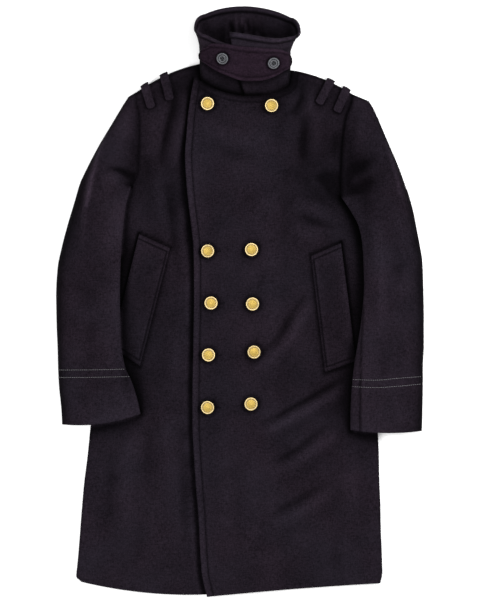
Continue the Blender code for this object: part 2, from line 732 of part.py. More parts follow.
def shoulder_loop(name, row, shoulder, top):
    """A strap from its sewn end up the front and over the shoulder's edge, down beside it."""
    sewn, head = np.array(row[:2], float), np.array(row[2:], float)
    run = head - sewn
    length = np.linalg.norm(run)
    run = run / length
    across = np.array([-run[1], run[0]])
    inside, outside = [], []
    for side in LOOP_COLUMNS:
        far = np.linspace(length * 0.5, length * 1.6, 400)
        start = sewn + across * side * LOOP_WIDTH
        line = start[None, :] + run[None, :] * far[:, None]
        edge = far[np.argmin(to_line(line[:, 0], line[:, 1], shoulder))]
        along = np.concatenate([np.linspace(0.0, edge - LOOP_TURN, 6), [edge - LOOP_TURN / 2, edge]])
        tip = np.clip(along / LOOP_TIP_RUN, 0.0, 1.0)
        width = LOOP_TIP + (1.0 - LOOP_TIP) * tip
        x = sewn[0] + run[0] * along + across[0] * side * LOOP_WIDTH * width
        y = sewn[1] + run[1] * along + across[1] * side * LOOP_WIDTH * width
        z = top(x, y) + LOOP_LAY
        over = z[-3] + LOOP_LAY
        z[-2] = over + 0.4
        z[-1] = over - 0.6
        profile = list(zip(along, z))
        profile.append((edge + LOOP_STAND * 0.8, over - 2.6))
        profile.append((edge + LOOP_STAND, over - 5.5))
        profile.append((edge + LOOP_STAND, LOOP_FOOT))
        profile = np.array(profile)
        tangent = np.gradient(profile, axis=0)
        tangent[-1] = (0.0, -1.0)
        tangent = tangent / np.linalg.norm(tangent, axis=1, keepdims=True)
        out = np.stack([-tangent[:, 1], tangent[:, 0]], axis=1)
        shell = profile + out * LOOP_CLOTH
        wide = np.concatenate([width, np.ones(3)])
        for points, store in ((profile, inside), (shell, outside)):
            px = sewn[0] + run[0] * points[:, 0] + across[0] * side * LOOP_WIDTH * wide
            py = sewn[1] + run[1] * points[:, 0] + across[1] * side * LOOP_WIDTH * wide
            store.append(np.stack([px, py, points[:, 1]], axis=1))
    wall(name, np.array(outside), np.array(inside), WOOL)


def turned(name, profile, crown, segments, seat, axis, finish):
    """A turned piece on a seat, along an axis."""
    axis = np.array(axis, float) / np.linalg.norm(axis)
    side = np.cross(axis, np.array([0.0, 1.0, 0.0]))
    side = side / np.linalg.norm(side)
    other = np.cross(axis, side)
    points = [np.array(seat, float) + axis * profile[0][1]]
    for radius, height in profile:
        for k in range(segments):
            turn = 2.0 * math.pi * k / segments
            arm = side * math.cos(turn) + other * math.sin(turn)
            points.append(np.array(seat) + arm * radius + axis * height)
    points.append(np.array(seat) + axis * crown)
    last = len(points) - 1
    faces = []
    for k in range(segments):
        n = (k + 1) % segments
        faces.append((0, 1 + n, 1 + k))
        for r in range(len(profile) - 1):
            a = 1 + r * segments
            faces.append((a + k, a + n, a + segments + n, a + segments + k))
        a = 1 + (len(profile) - 1) * segments
        faces.append((a + k, a + n, last))
    mesh_object(name, points, faces, finish)


def gold_buttons():
    for i, (x, y) in enumerate(GOLD_BUTTONS):
        ring = np.linspace(0.0, 2.0 * math.pi, 12)
        reach = GOLD_PROFILE[2][0]
        sx, sy = x + reach * np.cos(ring), y + reach * np.sin(ring)
        z = left_top(sx, sy)
        slope_x = (z * np.cos(ring)).sum() / (reach * (np.cos(ring) ** 2).sum())
        slope_y = (z * np.sin(ring)).sum() / (reach * (np.sin(ring) ** 2).sum())
        axis = np.array([-slope_x, -slope_y, 1.0])
        here = left_top(np.array([float(x)]), np.array([float(y)]))[0]
        seat = (x, y, here + BUTTON_LAY)
        name = "gold_button_%02d" % (i + 1)
        turned(name, GOLD_PROFILE, GOLD_CROWN, GOLD_SEGMENTS, seat, axis, GOLD)


def tab_buttons():
    for name, (angle, height) in zip(("tab_button_right", "tab_button_left"), TAB_BUTTONS):
        away = float(tab_away(angle)) + TAB_CLOTH + BUTTON_LAY
        seat, normal = collar_out(np.array(angle), np.array(height), away)
        turned(name, DARK_PROFILE, DARK_CROWN, DARK_SEGMENTS, seat, normal, DARK_HORN)


def build():
    for old in list(bpy.data.objects):
        bpy.data.objects.remove(old, do_unlink=True)
    back_panel()
    front_panel("front_right", ROWS_RIGHT, STEPS_RIGHT, FRONT_COLUMNS, right_top)
    front_panel("front_left", ROWS_LEFT, STEPS_LEFT, LAP_FRONT_COLUMNS, left_top)
    sleeve_pair("sleeve_right", SLEEVE_RIGHT, STEPS_SLEEVE, SIDE_RIGHT, -1)
    sleeve_pair("sleeve_left", SLEEVE_LEFT, STEPS_SLEEVE, SIDE_LEFT, 1)
    collar()
    throat_tab()
    welt("pocket_welt_right", WELT_RIGHT, right_top)
    welt("pocket_welt_left", WELT_LEFT, left_top)
    for i, row in enumerate(SHOULDER_LOOPS):
        right = row[0] < 0
        shoulder = FOLDED[0 if right else 2][:SHOULDER_POINTS]
        shoulder_loop("shoulder_loop_%d" % (i + 1), row, shoulder, right_top if right else left_top)
    tab_buttons()
    gold_buttons()


build()
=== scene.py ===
"""The visual model of a double-breasted wool coat that lies flat on its back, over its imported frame.

Right and left are the wearer's. The tables are in millimetres, and the meshes in metres.
"""

import math

import bpy
import numpy as np
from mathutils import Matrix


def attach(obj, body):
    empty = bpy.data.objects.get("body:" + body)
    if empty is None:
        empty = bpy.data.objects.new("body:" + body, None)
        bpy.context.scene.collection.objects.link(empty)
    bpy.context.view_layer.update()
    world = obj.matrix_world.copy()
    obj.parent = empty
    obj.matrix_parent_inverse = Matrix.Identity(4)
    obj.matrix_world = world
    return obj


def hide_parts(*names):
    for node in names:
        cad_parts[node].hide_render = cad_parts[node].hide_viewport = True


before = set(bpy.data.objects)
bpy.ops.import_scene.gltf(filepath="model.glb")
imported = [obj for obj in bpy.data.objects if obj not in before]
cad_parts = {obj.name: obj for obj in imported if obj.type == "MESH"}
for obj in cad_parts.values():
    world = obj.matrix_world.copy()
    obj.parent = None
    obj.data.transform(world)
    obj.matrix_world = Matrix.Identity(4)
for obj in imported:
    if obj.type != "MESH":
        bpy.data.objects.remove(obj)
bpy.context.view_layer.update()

MM = 0.001

# Cloth and seams
CLOTH = 2.8
COLLAR_CLOTH = 2.8
TAB_CLOTH = 3.2
WELT_CLOTH = 2.6
LOOP_CLOTH = 2.4
SEAM = 0.4
LAY = 0.6
LOOP_LAY = 0.7
TAB_LAY = 0.9
NECK_SEAM = 0.9
LAP_LAY = 0.9
EDGE_TURN = 1.4
THIN = 0.25

# How the panels lie
RIM = CLOTH + 0.3
BODY_TOP = 9.0
EDGE_ROUND = 10.0
SETTLE_FROM = 8.0
SETTLE_TO = 70.0
UNDER_EDGE_X = 50.0
LAP_HOLD = 4.0
LAP_RUN = 46.0
COVERED_SINK = 2.4
RAMP_FROM = -32.0
RAMP_TO = -5.0
EDGE_LIFT = 4.0
EDGE_LIFT_REACH = 26.0
EDGE_LIFT_LOW = 20.0
EDGE_LIFT_HIGH = 360.0
EDGE_LIFT_FADE = 110.0

# Rows and columns of the panels
ARMPIT_ROW = 8
ARMPIT_RISE = ((7.5, 0.0), (8.0, 0.6), (8.25, 1.0))
ARMPIT_LIFT = 1.6
ARMHOLE_RIGHT = 0.5
ARMHOLE_LEFT = 1.3
SLEEVE_HEAD_ROWS = 12
SHOULDER_POINTS = 33
CREST_SHARE = 0.45
ARCH_POWER = 2.4
ROWS_PER_STEP = 12
CLOSE_STEPS = (0.012, 0.03, 0.055, 0.09, 0.15)
SIDE_STEPS = (0.0, 0.4, 1.0, 1.9, 3.0, 4.5, 6.5, 9.0, 12.0, 16.0)
EDGE_STEPS = (0.0, 0.25, 0.6, 1.0, 1.5, 2.4, 4.0, 6.5, 9.0, 11.0, 12.2, 13.4, 14.6, 17.0)
FRONT_MIDDLE = 96
SLEEVE_MIDDLE = 44
UNDER_MIDDLE = 8

# Collar
COLLAR_LONG = 620.0
COLLAR_DEEP = 115.0
COLLAR_COLUMNS = 240
COLLAR_ROWS = 84
COLLAR_START = 290.0
COLLAR_END_BASE = -90.0
COLLAR_END_SLANT = -21.0
COLLAR_POINT_RISE = 0.1
COLLAR_UNDER_DROP = 0.11
COLLAR_ARCH = 0.3
COLLAR_FLAT = 0.6
COLLAR_LAP = COLLAR_CLOTH + 0.7
LAP_ANGLE_FROM = 28.0
LAP_ANGLE_TO = 60.0
POINT_ANGLE_FROM = 46.0
POINT_ANGLE_TO = 108.0
UNDER_ANGLE_FROM = 205.0
UNDER_ANGLE_TO = 250.0
TAB_DROP_FROM = 114.0
TAB_DROP_TO = 146.0
COLLAR_STITCH = 0.085
COLLAR_CLOSE_ENDS = (0.0, 0.0004, 0.001, 0.0018, 0.003)
COLLAR_CLOSE_TOP = (0.0, 0.002, 0.005, 0.009, 0.014)

# Stitching
EDGE_STITCH = 13.0
WELT_STITCH = 4.6
WELT_END_STITCH = 9.0
TAB_STITCH = 8.5
# The buttonholes: how far they reach from a button's middle, and the sewn tack at their end.
HOLE_FROM = 14.0
HOLE_REACH = 27.0
HOLE_TACK = 5.0
HOLE_STEP = 0.8
# length, gap, width and height of the stitches
STITCH_TACK = (2.8, 0.2, 0.9, 0.4)
STITCH_DARK = (3.0, 1.0, 0.8, 0.35)
STITCH_CUFF = (3.6, 0.7, 1.0, 0.5)
TAB_THREAD = (0.9, 0.5)
CUFF_FROM_ROW = 110

# How the buttons sit: clear of the cloth, on the cloth this far round them, and sunk by at most this.
BUTTON_LAY = 0.5
BUTTON_REACH = 13.0
BUTTON_SINK = 2.0
# The painted shadows round the buttons, as rings.
GOLD_SHADOW_RING = 15.9
TAB_SHADOW_RING = 12.6

# Painted shading: the cloth is painted lighter on ridges, as a painted highlight, and darker in hollows, as
# painted shade, over several distances.
CELL = 2.0
FIELD_X = 520.0
FIELD_Y = 740.0
PAINTED_SHADING_LEAST = 0.22
PAINTED_SHADING_MOST = 1.35
COLLAR_PAINTED_SHADING = 0.72
# reach, darker for each millimetre of hollow, lighter for each millimetre of ridge
PAINTED_SHADING_STEPS = ((3.0, 0.22, 0.12), (8.0, 0.10, 0.06), (20.0, 0.075, 0.04), (45.0, 0.035, 0.014))
# Patches of painted light and shade: the cloth is painted darker where shade falls, as below the throat
# tab, in the collar's mouth and beside the sleeves, and lighter where light falls, as on the collar's rim.
# x, y, reach_x, reach_y, change
PAINTED_SHADING_PATCHES = (
    (142, 300, 56, 98, -0.56),
    (178, 228, 36, 32, -0.40),
    (0, 432, 92, 17, -0.55),
    (-78, 442, 14, 24, -0.30),
    (84, 434, 26, 12, -0.24),
    (-152, 262, 40, 110, -0.28),
    (-222, 170, 24, 62, 0.36),
    (-128, 420, 22, 60, -0.20),
    (244, 262, 46, 66, -0.46),
    (-232, 268, 36, 44, -0.30),
    (-300, 60, 54, 170, -0.26),
    (-200, 5, 26, 100, -0.06),
    (186, -12, 26, 100, -0.07),
    (306, 40, 60, 200, -0.18),
    (268, 250, 40, 90, -0.32),
    (252, 120, 10, 120, -0.3),
    (30, 330, 62, 60, 0.10),
    (-10, 190, 80, 50, -0.06),
    (-172, 20, 30, 110, -0.22),
    (176, -10, 30, 110, -0.26),
    (-52, 548, 26, 22, 0.42),
    (72, 548, 24, 20, 0.36),
    (0, 560, 10, 12, 0.30),
    (10, 556, 84, 24, 0.44),
    (-24, 530, 12, 10, -0.34),
    (62, 530, 16, 8, -0.30),
    (-232, 32, 8, 42, -0.7),
    (-226, -146, 9, 30, -0.7),
    (228, 70, 14, 62, 0.34),
    (226, -112, 9, 30, -0.5),
    (110, -160, 70, 40, -0.14),
    (196, -190, 36, 60, -0.26),
    (-204, -160, 40, 40, -0.22),
    (-178, -300, 30, 90, 0.10),
    (60, -420, 90, 60, 0.06),
    (-150, -480, 70, 60, 0.06),
)

# Shoulder loops
LOOP_WIDTH = 17.0
LOOP_STAND = 3.4
LOOP_FOOT = 0.5
LOOP_TIP_RUN = 7.0
LOOP_TURN = 13.0
LOOP_SIDES = (-1.0, -0.97, -0.9, -0.78, -0.6, -0.3, 0.0, 0.3, 0.6, 0.78, 0.9, 0.97, 1.0)

# How far a sleeve's head passes under the body's edge in its seam.
SEAM_LAP = 1.3

# The sections of each sleeve, from the shoulder to the cuff.
# outer_x, outer_y, inner_x, inner_y, extra, crest, bed, open, bow
SLEEVE_RIGHT = (
    (-223, 410, -209, 418, 0, 27, 0.0, 1.0, 0),
    (-234, 393, -208, 397, 3, 27, 0.0, 1.0, 0),
    (-246, 373, -204, 379, 7, 27, 0.0, 1.0, 0),
    (-264, 343, -202, 347, 12, 27, 0.0, 1.0, 0),
    (-282, 313, -203, 311, 16, 27, 0.0, 1.0, 0),
    (-298, 283, -204, 279, 18, 28, 0.0, 1.0, 0),
    (-311, 257, -207, 251, 18, 28, 0.0, 1.0, 0),
    (-319, 240, -215, 235, 18, 28, 9.9, 1.0, 0),
    (-322, 231, -218, 229, 18, 28, 9.9, 0.7, 0),
    (-333, 193, -228, 193, 18, 28, 9.9, 0.35, 0),
    (-345, 153, -233, 155, 18, 28, 10.4, 0.1, 0),
    (-357, 107, -237, 107, 18, 29, 12.7, 0.0, 0),
    (-365, 67, -239, 67, 18, 30, 12.7, 0.0, 0),
    (-368, 13, -240, 13, 18, 31, 12.7, 0.0, 0),
    (-367, -47, -239, -47, 18, 31, 12.7, 0.0, 0),
    (-365, -97, -236, -97, 18, 30, 12.7, 0.0, 0),
    (-364, -137, -229, -133, 18, 29, 12.7, 0.0, 0),
    (-362, -173, -218, -157, 18, 28, 11.2, 0.0, -3),
    (-359, -201, -209, -183, 18, 28, 10.0, 0.0, -5),
    (-357, -225, -203, -205, 18, 27, 10.0, 0.0, -7),
    (-356, -246, -199, -225, 18, 26, 10.0, 0.0, -9),
)
SLEEVE_LEFT = (
    (258, 401, 227, 414, 0, 27, 0.0, 1.0, 0),
    (266, 388, 221, 391, 3, 27, 0.0, 1.0, 0),
    (276, 367, 213, 369, 7, 27, 0.0, 1.0, 0),
    (287, 341, 208, 343, 12, 27, 0.0, 1.0, 0),
    (299, 313, 205, 311, 16, 27, 0.0, 1.0, 0),
    (312, 283, 203, 279, 18, 28, 0.0, 1.0, 0),
    (323, 255, 202, 249, 18, 28, 0.0, 1.0, 0),
    (332, 229, 202, 215, 18, 28, 9.9, 1.0, 0),
    (336, 219, 203, 208, 18, 28, 9.9, 0.7, 0),
    (347, 179, 222, 180, 18, 28, 9.9, 0.3, 0),
    (353, 149, 237, 151, 18, 29, 10.4, 0.0, 0),
    (359, 117, 244, 119, 18, 30, 12.7, 0.0, 0),
    (365, 79, 247, 79, 18, 31, 12.7, 0.0, 0),
    (367, 27, 248, 27, 18, 31, 12.7, 0.0, 0),
    (368, -33, 243, -33, 18, 31, 12.7, 0.0, 0),
    (368, -87, 235, -87, 18, 30, 12.7, 0.0, 0),
    (366, -129, 228, -129, 18, 29, 12.7, 0.0, 0),
    (366, -167, 224, -167, 18, 29, 11.2, 0.0, 0),
    (365.5, -197, 222, -197, 18, 28, 10.0, 0.0, -1),
    (365, -227, 221, -227, 18, 28, 10.0, 0.0, -3),
    (364, -259, 221, -257, 18, 27, 10.0, 0.0, -5),
)

# Where the upper rows of each front meet the collar, as angles on the collar's base, and then where
# the rows down to the armpit end on the front edge.
NECK_ANGLES_RIGHT = (182, 198, 216, 238, 256, 270, 280, 287)
NECK_ANGLES_LEFT = (-2, -18, -42, -72, -108, -143)
# edge_x, edge_y
UPPER_EDGE_RIGHT = ()
UPPER_EDGE_LEFT = ((-92, 446), (-98, 414))

# The rows of each front from the armpit to the hem, from the side to the front edge.
# side_x, side_y, edge_x, edge_y, bow
FRONT_RIGHT = (
    (-218, 229, 50, 330, 0),
    (-238, 217, 50, 280, 0),
    (-254, 197, 50, 235, 0),
    (-262, 163, 50, 185, 0),
    (-268, 103, 50, 115, 0),
    (-272, 53, 50, 60, 0),
    (-276, -7, 50, -2, 0),
    (-281, -67, 50, -63, 0),
    (-286, -127, 50, -125, 0),
    (-292, -187, 50, -187, 0),
    (-299, -247, 50, -250, 0),
    (-305, -307, 50, -312, 0),
    (-312, -363, 50, -374, 0),
    (-317, -419, 50, -435, 0),
    (-321, -471, 50, -494, -5),
    (-325, -519, 50, -546, -10),
    (-328, -549, 50, -566, -15),
    (-318, -561, 50, -574, -19),
)
FRONT_LEFT = (
    (203, 208, -104, 372, 0),
    (226, 188, -107, 335, 0),
    (246, 166, -110, 292, 0),
    (260, 140, -108, 250, 0),
    (269, 104, -104, 205, 0),
    (272, 58, -98, 155, 0),
    (273, 4, -93, 105, 0),
    (274, -50, -92, 52, 0),
    (274, -102, -92, -4, 0),
    (274, -154, -93, -62, 0),
    (275, -205, -94, -122, 0),
    (276, -256, -95, -182, 0),
    (278, -306, -95, -245, 0),
    (279, -356, -92, -308, 0),
    (281, -406, -88, -370, 0),
    (282, -456, -83, -430, 0),
    (284, -506, -80, -490, 0),
    (285, -541, -76, -545, 0),
    (281, -564, -66, -591, 2),
)
SHOULDER_BOW = 8.0

# Broad swellings of the cloth: where shoulder pads, chest and collar hold it up.
# x, y, reach_x, reach_y, height
SWELLS = (
    (-150, 330, 70, 90, 5.0),
    (150, 320, 72, 90, 5.0),
    (10, 455, 100, 60, 6.0),
    (-190, -420, 60, 110, 2.0),
    (120, -470, 90, 80, 2.0),
)
# Creases, as soft ridges and troughs along a line that fade at both ends.
# line of x and y, width, height, lean
CREASES_RIGHT = (
    (((-126, 440), (-131, 403), (-146, 345), (-162, 268)), 14, -5.0, 0.3),
    (((-112, 425), (-112, 380), (-128, 320), (-134, 262)), 13, 4.5, 0.0),
    (((-170, 372), (-174, 330), (-180, 285)), 15, 2.7, 0.0),
    (((-190, 300), (-186, 268), (-178, 238)), 9, -2.1, 0.2),
    (((-144, 240), (-139, 180), (-130, 110), (-122, 40)), 12, -2.8, 0.3),
    (((-168, 262), (-164, 205), (-156, 150)), 14, 3.9, 0.0),
    (((-112, 200), (-116, 130), (-108, 60)), 10, 2.4, 0.0),
    (((-120, -20), (-126, -90), (-134, -160)), 13, 2.2, 0.0),
    (((-176, -225), (-184, -310), (-176, -405)), 19, -2.8, 0.2),
    (((-222, -270), (-228, -350), (-226, -470)), 22, 4.5, 0.0),
    (((-138, -215), (-140, -320), (-132, -450)), 19, 3.9, 0.0),
    (((-260, -300), (-262, -380), (-270, -460)), 15, -1.8, 0.0),
    (((-110, -300), (-112, -400), (-106, -520)), 11, -1.8, 0.2),
    (((-196, -440), (-204, -500), (-208, -556)), 16, -2.1, 0.0),
    (((-282, -330), (-252, -352), (-230, -362)), 10, -1.5, 0.0),
)
CREASES_LEFT = (
    (((122, 452), (123, 415), (112, 388), (100, 372)), 8, -3.7, 0.2),
    (((140, 448), (142, 412), (134, 372)), 11, 4.2, 0.0),
    (((131, 372), (126, 330), (123, 278)), 11, -3.0, 0.2),
    (((152, 384), (151, 332), (146, 276)), 15, 3.9, 0.0),
    (((98, 372), (96, 322), (90, 262)), 15, 3.3, 0.0),
    (((-70, 372), (-40, 340), (10, 322), (58, 330)), 16, 2.4, 0.0),
    (((-60, 330), (-10, 296), (40, 286)), 18, -1.8, 0.0),
    (((196, 350), (190, 320), (186, 285)), 10, -1.8, 0.0),
    (((150, 254), (178, 230), (202, 206)), 18, -4.6, 0.3),
    (((138, 244), (160, 230), (190, 196)), 11, 4.2, 0.0),
    (((112, 178), (150, 158), (186, 150), (214, 148)), 11, -2.8, 0.2),
    (((104, 200), (140, 186), (182, 178)), 13, 4.2, 0.0),
    (((96, 152), (130, 134), (166, 128)), 14, 3.3, 0.0),
    (((60, 216), (40, 160), (46, 118)), 18, 2.1, 0.0),
    (((134, 22), (104, -24), (80, -66), (52, -98), (8, -134)), 11, -3.0, 0.3),
    (((146, 6), (120, -36), (96, -78), (62, -112), (20, -148)), 12, 5.4, 0.0),
    (((62, 74), (42, 40), (34, 12)), 11, -1.7, 0.0),
    (((214, -148), (160, -180), (122, -203), (90, -221), (36, -250)), 9, -3.9, 0.45),
    (((220, -166), (168, -197), (128, -219), (95, -238), (40, -268)), 12, 8.1, 0.0),
    (((186, -238), (130, -285), (96, -308), (50, -330)), 12, -2.9, 0.35),
    (((196, -256), (142, -302), (104, -326), (56, -348)), 14, 6.3, 0.0),
    (((182, -356), (122, -396), (84, -416), (44, -434)), 13, -2.6, 0.3),
    (((190, -374), (132, -414), (90, -436), (50, -454)), 15, 5.4, 0.0),
    (((232, -300), (222, -380), (228, -470)), 19, 3.3, 0.0),
    (((200, -440), (192, -500), (196, -560)), 16, -2.1, 0.0),
    (((20, -330), (26, -430), (18, -540)), 18, 2.4, 0.0),
    (((-38, -260), (-30, -380), (-24, -500)), 16, 2.0, 0.0),
    (((254, -290), (240, -310), (222, -318)), 9, -1.6, 0.0),
)
CREASES_SLEEVE_RIGHT = (
    (((-262, 348), (-278, 306), (-299, 243), (-309, 193), (-315, 140), (-318, 96)), 6, 4.4, 0.3),
    (((-276, 352), (-292, 312), (-316, 250), (-328, 196)), 10, -2.4, 0.0),
    (((-272, 268), (-246, 262), (-224, 250), (-208, 238)), 8, -7.5, 0.3),
    (((-282, 248), (-252, 240), (-228, 226)), 11, 5.0, 0.0),
    (((-214, 262), (-214, 244), (-222, 222), (-226, 202)), 7, -6.3, 0.0),
    (((-246, 206), (-256, 160), (-264, 100)), 13, 2.5, 0.0),
    (((-288, 60), (-270, 36), (-250, 26)), 13, -3.0, 0.2),
    (((-340, 44), (-312, 22), (-282, 14)), 12, -2.4, 0.0),
    (((-344, -8), (-310, -24), (-276, -22)), 14, 2.5, 0.0),
    (((-292, -30), (-298, -80), (-292, -128)), 16, -2.2, 0.0),
    (((-250, -60), (-262, -96), (-262, -132)), 12, 2.1, 0.0),
    (((-320, -168), (-312, -200), (-316, -232)), 15, -2.1, 0.0),
    (((-246, -164), (-238, -196), (-226, -220)), 13, 2.5, 0.0),
)
CREASES_SLEEVE_LEFT = (
    (((300, 306), (314, 262), (328, 208), (336, 160)), 11, 2.8, 0.3),
    (((276, 300), (256, 278), (232, 262), (208, 252)), 19, -3.6, 0.2),
    (((288, 282), (262, 262), (236, 246), (214, 238)), 12, 4.8, 0.0),
    (((268, 246), (248, 232), (226, 214)), 17, -3.4, 0.2),
    (((236, 356), (232, 318), (230, 290)), 12, 2.5, 0.0),
    (((262, 190), (272, 130), (278, 70), (280, 0), (276, -70)), 14, 3.4, 0.0),
    (((306, 150), (312, 90), (314, 30)), 14, -2.4, 0.0),
    (((344, 96), (326, 70), (300, 60)), 12, -2.4, 0.2),
    (((350, 40), (322, 18), (296, 14)), 13, 2.5, 0.0),
    (((258, 52), (264, 10), (262, -40)), 11, -2.2, 0.0),
    (((330, -40), (324, -90), (330, -140)), 15, 2.1, 0.0),
    (((290, -90), (284, -130), (288, -160)), 13, -2.0, 0.0),
    (((320, -190), (312, -220), (318, -250)), 14, 2.0, 0.0),
)
# The painted highlights along folds near the sleeves' outer edges, and the sewn line down the left sleeve's
# inner side.
# x, y
SLEEVE_HIGHLIGHT_RIGHT = ((-268, 338), (-278, 312), (-288, 282), (-296, 250), (-303, 212), (-307, 190))
SLEEVE_HIGHLIGHT_LEFT = ((292, 318), (300, 296), (308, 267), (315, 240), (320, 214))
SLEEVE_SEAM = ((247, -10), (244, -60), (242, -90), (241, -150), (240, -210), (240, -261))

# The collar's rings from its base to its mouth.
# height, centre_x, half_width, centre_y, back_depth, front_depth, skew, half_rise
COLLAR_RINGS = (
    (0.0, 10, 91.0, 471, 12, 58, -6.0, 8.0),
    (0.5, 10, 91.0, 503, 28, 39, -5.0, 17.0),
    (0.8, 11, 97.0, 527, 38, 28, -4.4, 22.0),
    (1.0, 15, 107.0, 543, 48, 20, -4.0, 26.0),
)
# Folds of the collar's inside, at the back of the neck.
# angle, height, reach_angle, reach_height, rise
COLLAR_FOLDS = (
    (102.5, 0.60, 2.8, 0.20, 5.8),
    (95.0, 0.76, 1.5, 0.10, 4.4),
    (90.5, 0.62, 2.3, 0.14, 5.6),
    (84.5, 0.74, 1.4, 0.08, 3.2),
    (76.0, 0.54, 3.6, 0.17, 6.2),
    (114.0, 0.50, 4.5, 0.20, 3.6),
    (64.0, 0.45, 4.5, 0.16, 3.4),
)
# Painted shade in folds of the collar's mouth: line, width, depth.
MOUTH_FOLD_SHADES = [
    (((-19, 556), (-15, 545), (-17, 534)), 5.5, 0.6),
    (((15, 559), (18, 550), (17, 543)), 5.0, 0.55),
    (((34, 546), (42, 537), (50, 532)), 7.0, 0.65),
    (((60, 536), (70, 533)), 5.0, 0.4),
]
# The throat tab across the collar, from the wearer's right to the left.
# angle, lower, upper
TAB_SECTIONS = (
    (-160, 0.40, 0.51),
    (-154, 0.42, 0.59),
    (-148, 0.43, 0.67),
    (-140, 0.41, 0.78),
    (-132, 0.39, 0.86),
    (-112, 0.35, 0.90),
    (-90, 0.29, 0.89),
    (-70, 0.29, 0.87),
    (-50, 0.33, 0.82),
    (-34, 0.36, 0.71),
    (-22, 0.36, 0.57),
    (-14, 0.36, 0.47),
)
TAB_LONG = 215.0
TAB_DEEP = 62.0
TAB_ROWS = 52
TAB_COLUMNS = 150
TAB_CLOSE = (0.0, 0.0012, 0.003, 0.0055, 0.009)

# The welt over each slanted pocket, from the top outer corner round to the lower outer corner.
# x, y
WELT_RIGHT = ((-202, 135), (-140, 107), (-200, -129), (-258, -93))
WELT_LEFT = ((202, 117), (142, 91), (170, -141), (232, -119))
# How far outside the welts their painted shadow lines lie, as a share, and each side's width and depth.
WELT_OUTLINE = 0.018
WELT_SHADOW = ((4.4, 0.66), (3.4, 0.28), (4.2, 0.7), (4.4, 0.92))
WELT_COLUMNS = 48
WELT_ROWS = 160
WELT_CLOSE = (0.0, 0.25, 0.6, 1.1, 1.8)

# The sewn end of each shoulder loop, and where it crosses the shoulder.
# sewn_x, sewn_y, top_x, top_y
SHOULDER_LOOPS = (
    (-177, 387, -192, 435),
    (-140, 403, -153, 455),
    (157, 395, 183, 445),
    (193, 379, 216, 431),
)

# Where the front buttons sit, in five rows of two.
# x, y
GOLD_BUTTONS = (
    (-65, 396),
    (63, 392),
    (-65, 101),
    (23, 104),
    (-58, -3),
    (25, -5),
    (-63, -107),
    (28, -101),
    (-65, -212),
    (22, -205),
)
# The turned form of a shank button: a shank, a rounded back, a bead rim, a field and a low dome.
# radius, height
GOLD_PROFILE = (
    (2.6, 0.0),
    (2.6, 2.4),
    (9.0, 2.4),
    (13.2, 2.5),
    (14.2, 2.8),
    (14.3, 3.1),
    (14.1, 3.6),
    (13.8, 4.2),
    (13.5, 4.7),
    (13.2, 5.05),
    (12.9, 5.22),
    (12.4, 5.3),
    (11.2, 5.3),
    (10.6, 5.2),
    (10.3, 4.85),
    (9.9, 4.65),
    (8.8, 4.65),
    (8.3, 4.9),
    (7.9, 5.02),
    (7.4, 5.0),
    (5.6, 5.35),
    (3.6, 5.65),
    (1.8, 5.8),
    (0.7, 5.85),
)
GOLD_TOP = 5.86
GOLD_SEGMENTS = 72
RIM_FROM = 8.6
RIM_TO = 12.95
ROPE_RADIUS = 9.4
ROPE_THICK = 0.5
ROPE_HEIGHT = 4.75
ROPE_TURNS = 40
ROPE_STEPS = 5
ROPE_SIDES = 8
# The tab's buttons: where they sit on the collar.
# angle, height
TAB_BUTTONS = ((-118.0, 0.645), (-54.0, 0.585))
# radius, height
DARK_PROFILE = (
    (0.0, 1.9),
    (3.4, 1.95),
    (4.2, 2.3),
    (4.9, 3.0),
    (5.6, 3.3),
    (7.2, 3.1),
    (7.9, 2.4),
    (8.6, 3.0),
    (9.6, 3.5),
    (10.5, 3.3),
    (11.2, 2.8),
    (11.5, 2.1),
    (11.5, 1.5),
    (10.8, 0.8),
    (9.4, 0.2),
    (0.0, 0.2),
)
DARK_TOP_ROWS = 6
DARK_TOP_STEPS = 27
DARK_SEGMENTS = 96
DARK_MIDDLE = 4.4
DARK_GROOVE_FROM = 7.1
DARK_GROOVE_TO = 8.5
DARK_HOLES = 2.8
DARK_HOLE_TURNS = (0.785, 2.356, 3.927, 5.498)
DARK_HOLE_RADIUS = 1.7
DARK_HOLE_DEPTH = 1.9
DARK_THREAD = 2.05

# The two rows of pale stitching round each cuff.
# x, y
CUFF_RIGHT = (((-364, -137), (-300, -136.5), (-228, -135)), ((-363, -152), (-300, -151.5), (-221, -150)))
CUFF_LEFT = (
    ((225, -156), (270, -157), (320, -153), (365, -150)),
    ((224, -170), (270, -172), (330, -168), (364, -165)),
)

# The wool, as a cool and a ruddy colour that alternate.
WOOL = ((0.0091, 0.0071, 0.0106), (0.0099, 0.0069, 0.0104))
WOOL_TAB = ((0.0092, 0.0055, 0.0092), (0.0097, 0.0053, 0.0090))
WOOL_TONE = (0.45, 0.71)
# The other finishes.
# colour, roughness, metal, spread of tone, scale of the grain, bump, shine
FINISHES = {
    # The gold's field is matt. Its rim is polished and painted paler, as a highlight. Its outer side is
    # painted dark, as shade.
    "gold_matt": ((0.98, 0.64, 0.16), 0.46, 1.0, 0.16, 520.0, 0.3, 0.5),
    "gold_polished_and_painted_pale": ((0.86, 0.67, 0.33), 0.3, 1.0, 0.05, 300.0, 0.05, 0.5),
    "gold_shaded_side": ((0.055, 0.036, 0.014), 0.5, 1.0, 0.2, 300.0, 0.1, 0.5),
    "horn_dark": ((0.068, 0.070, 0.079), 0.2, 0.0, 0.25, 420.0, 0.08, 0.95),
    # The dark button's sunk middle and groove are painted darker, as shade.
    "horn_painted_shade": ((0.004, 0.004, 0.005), 0.5, 0.0, 0.25, 420.0, 0.08, 0.1),
    "thread_dark": ((0.005, 0.004, 0.006), 0.8, 0.0, 0.2, 900.0, 0.3, 0.04),
    "thread_tab": ((0.045, 0.046, 0.052), 0.7, 0.0, 0.2, 900.0, 0.3, 0.2),
    "thread_pale": ((0.115, 0.113, 0.118), 0.7, 0.0, 0.25, 900.0, 0.3, 0.2),
}

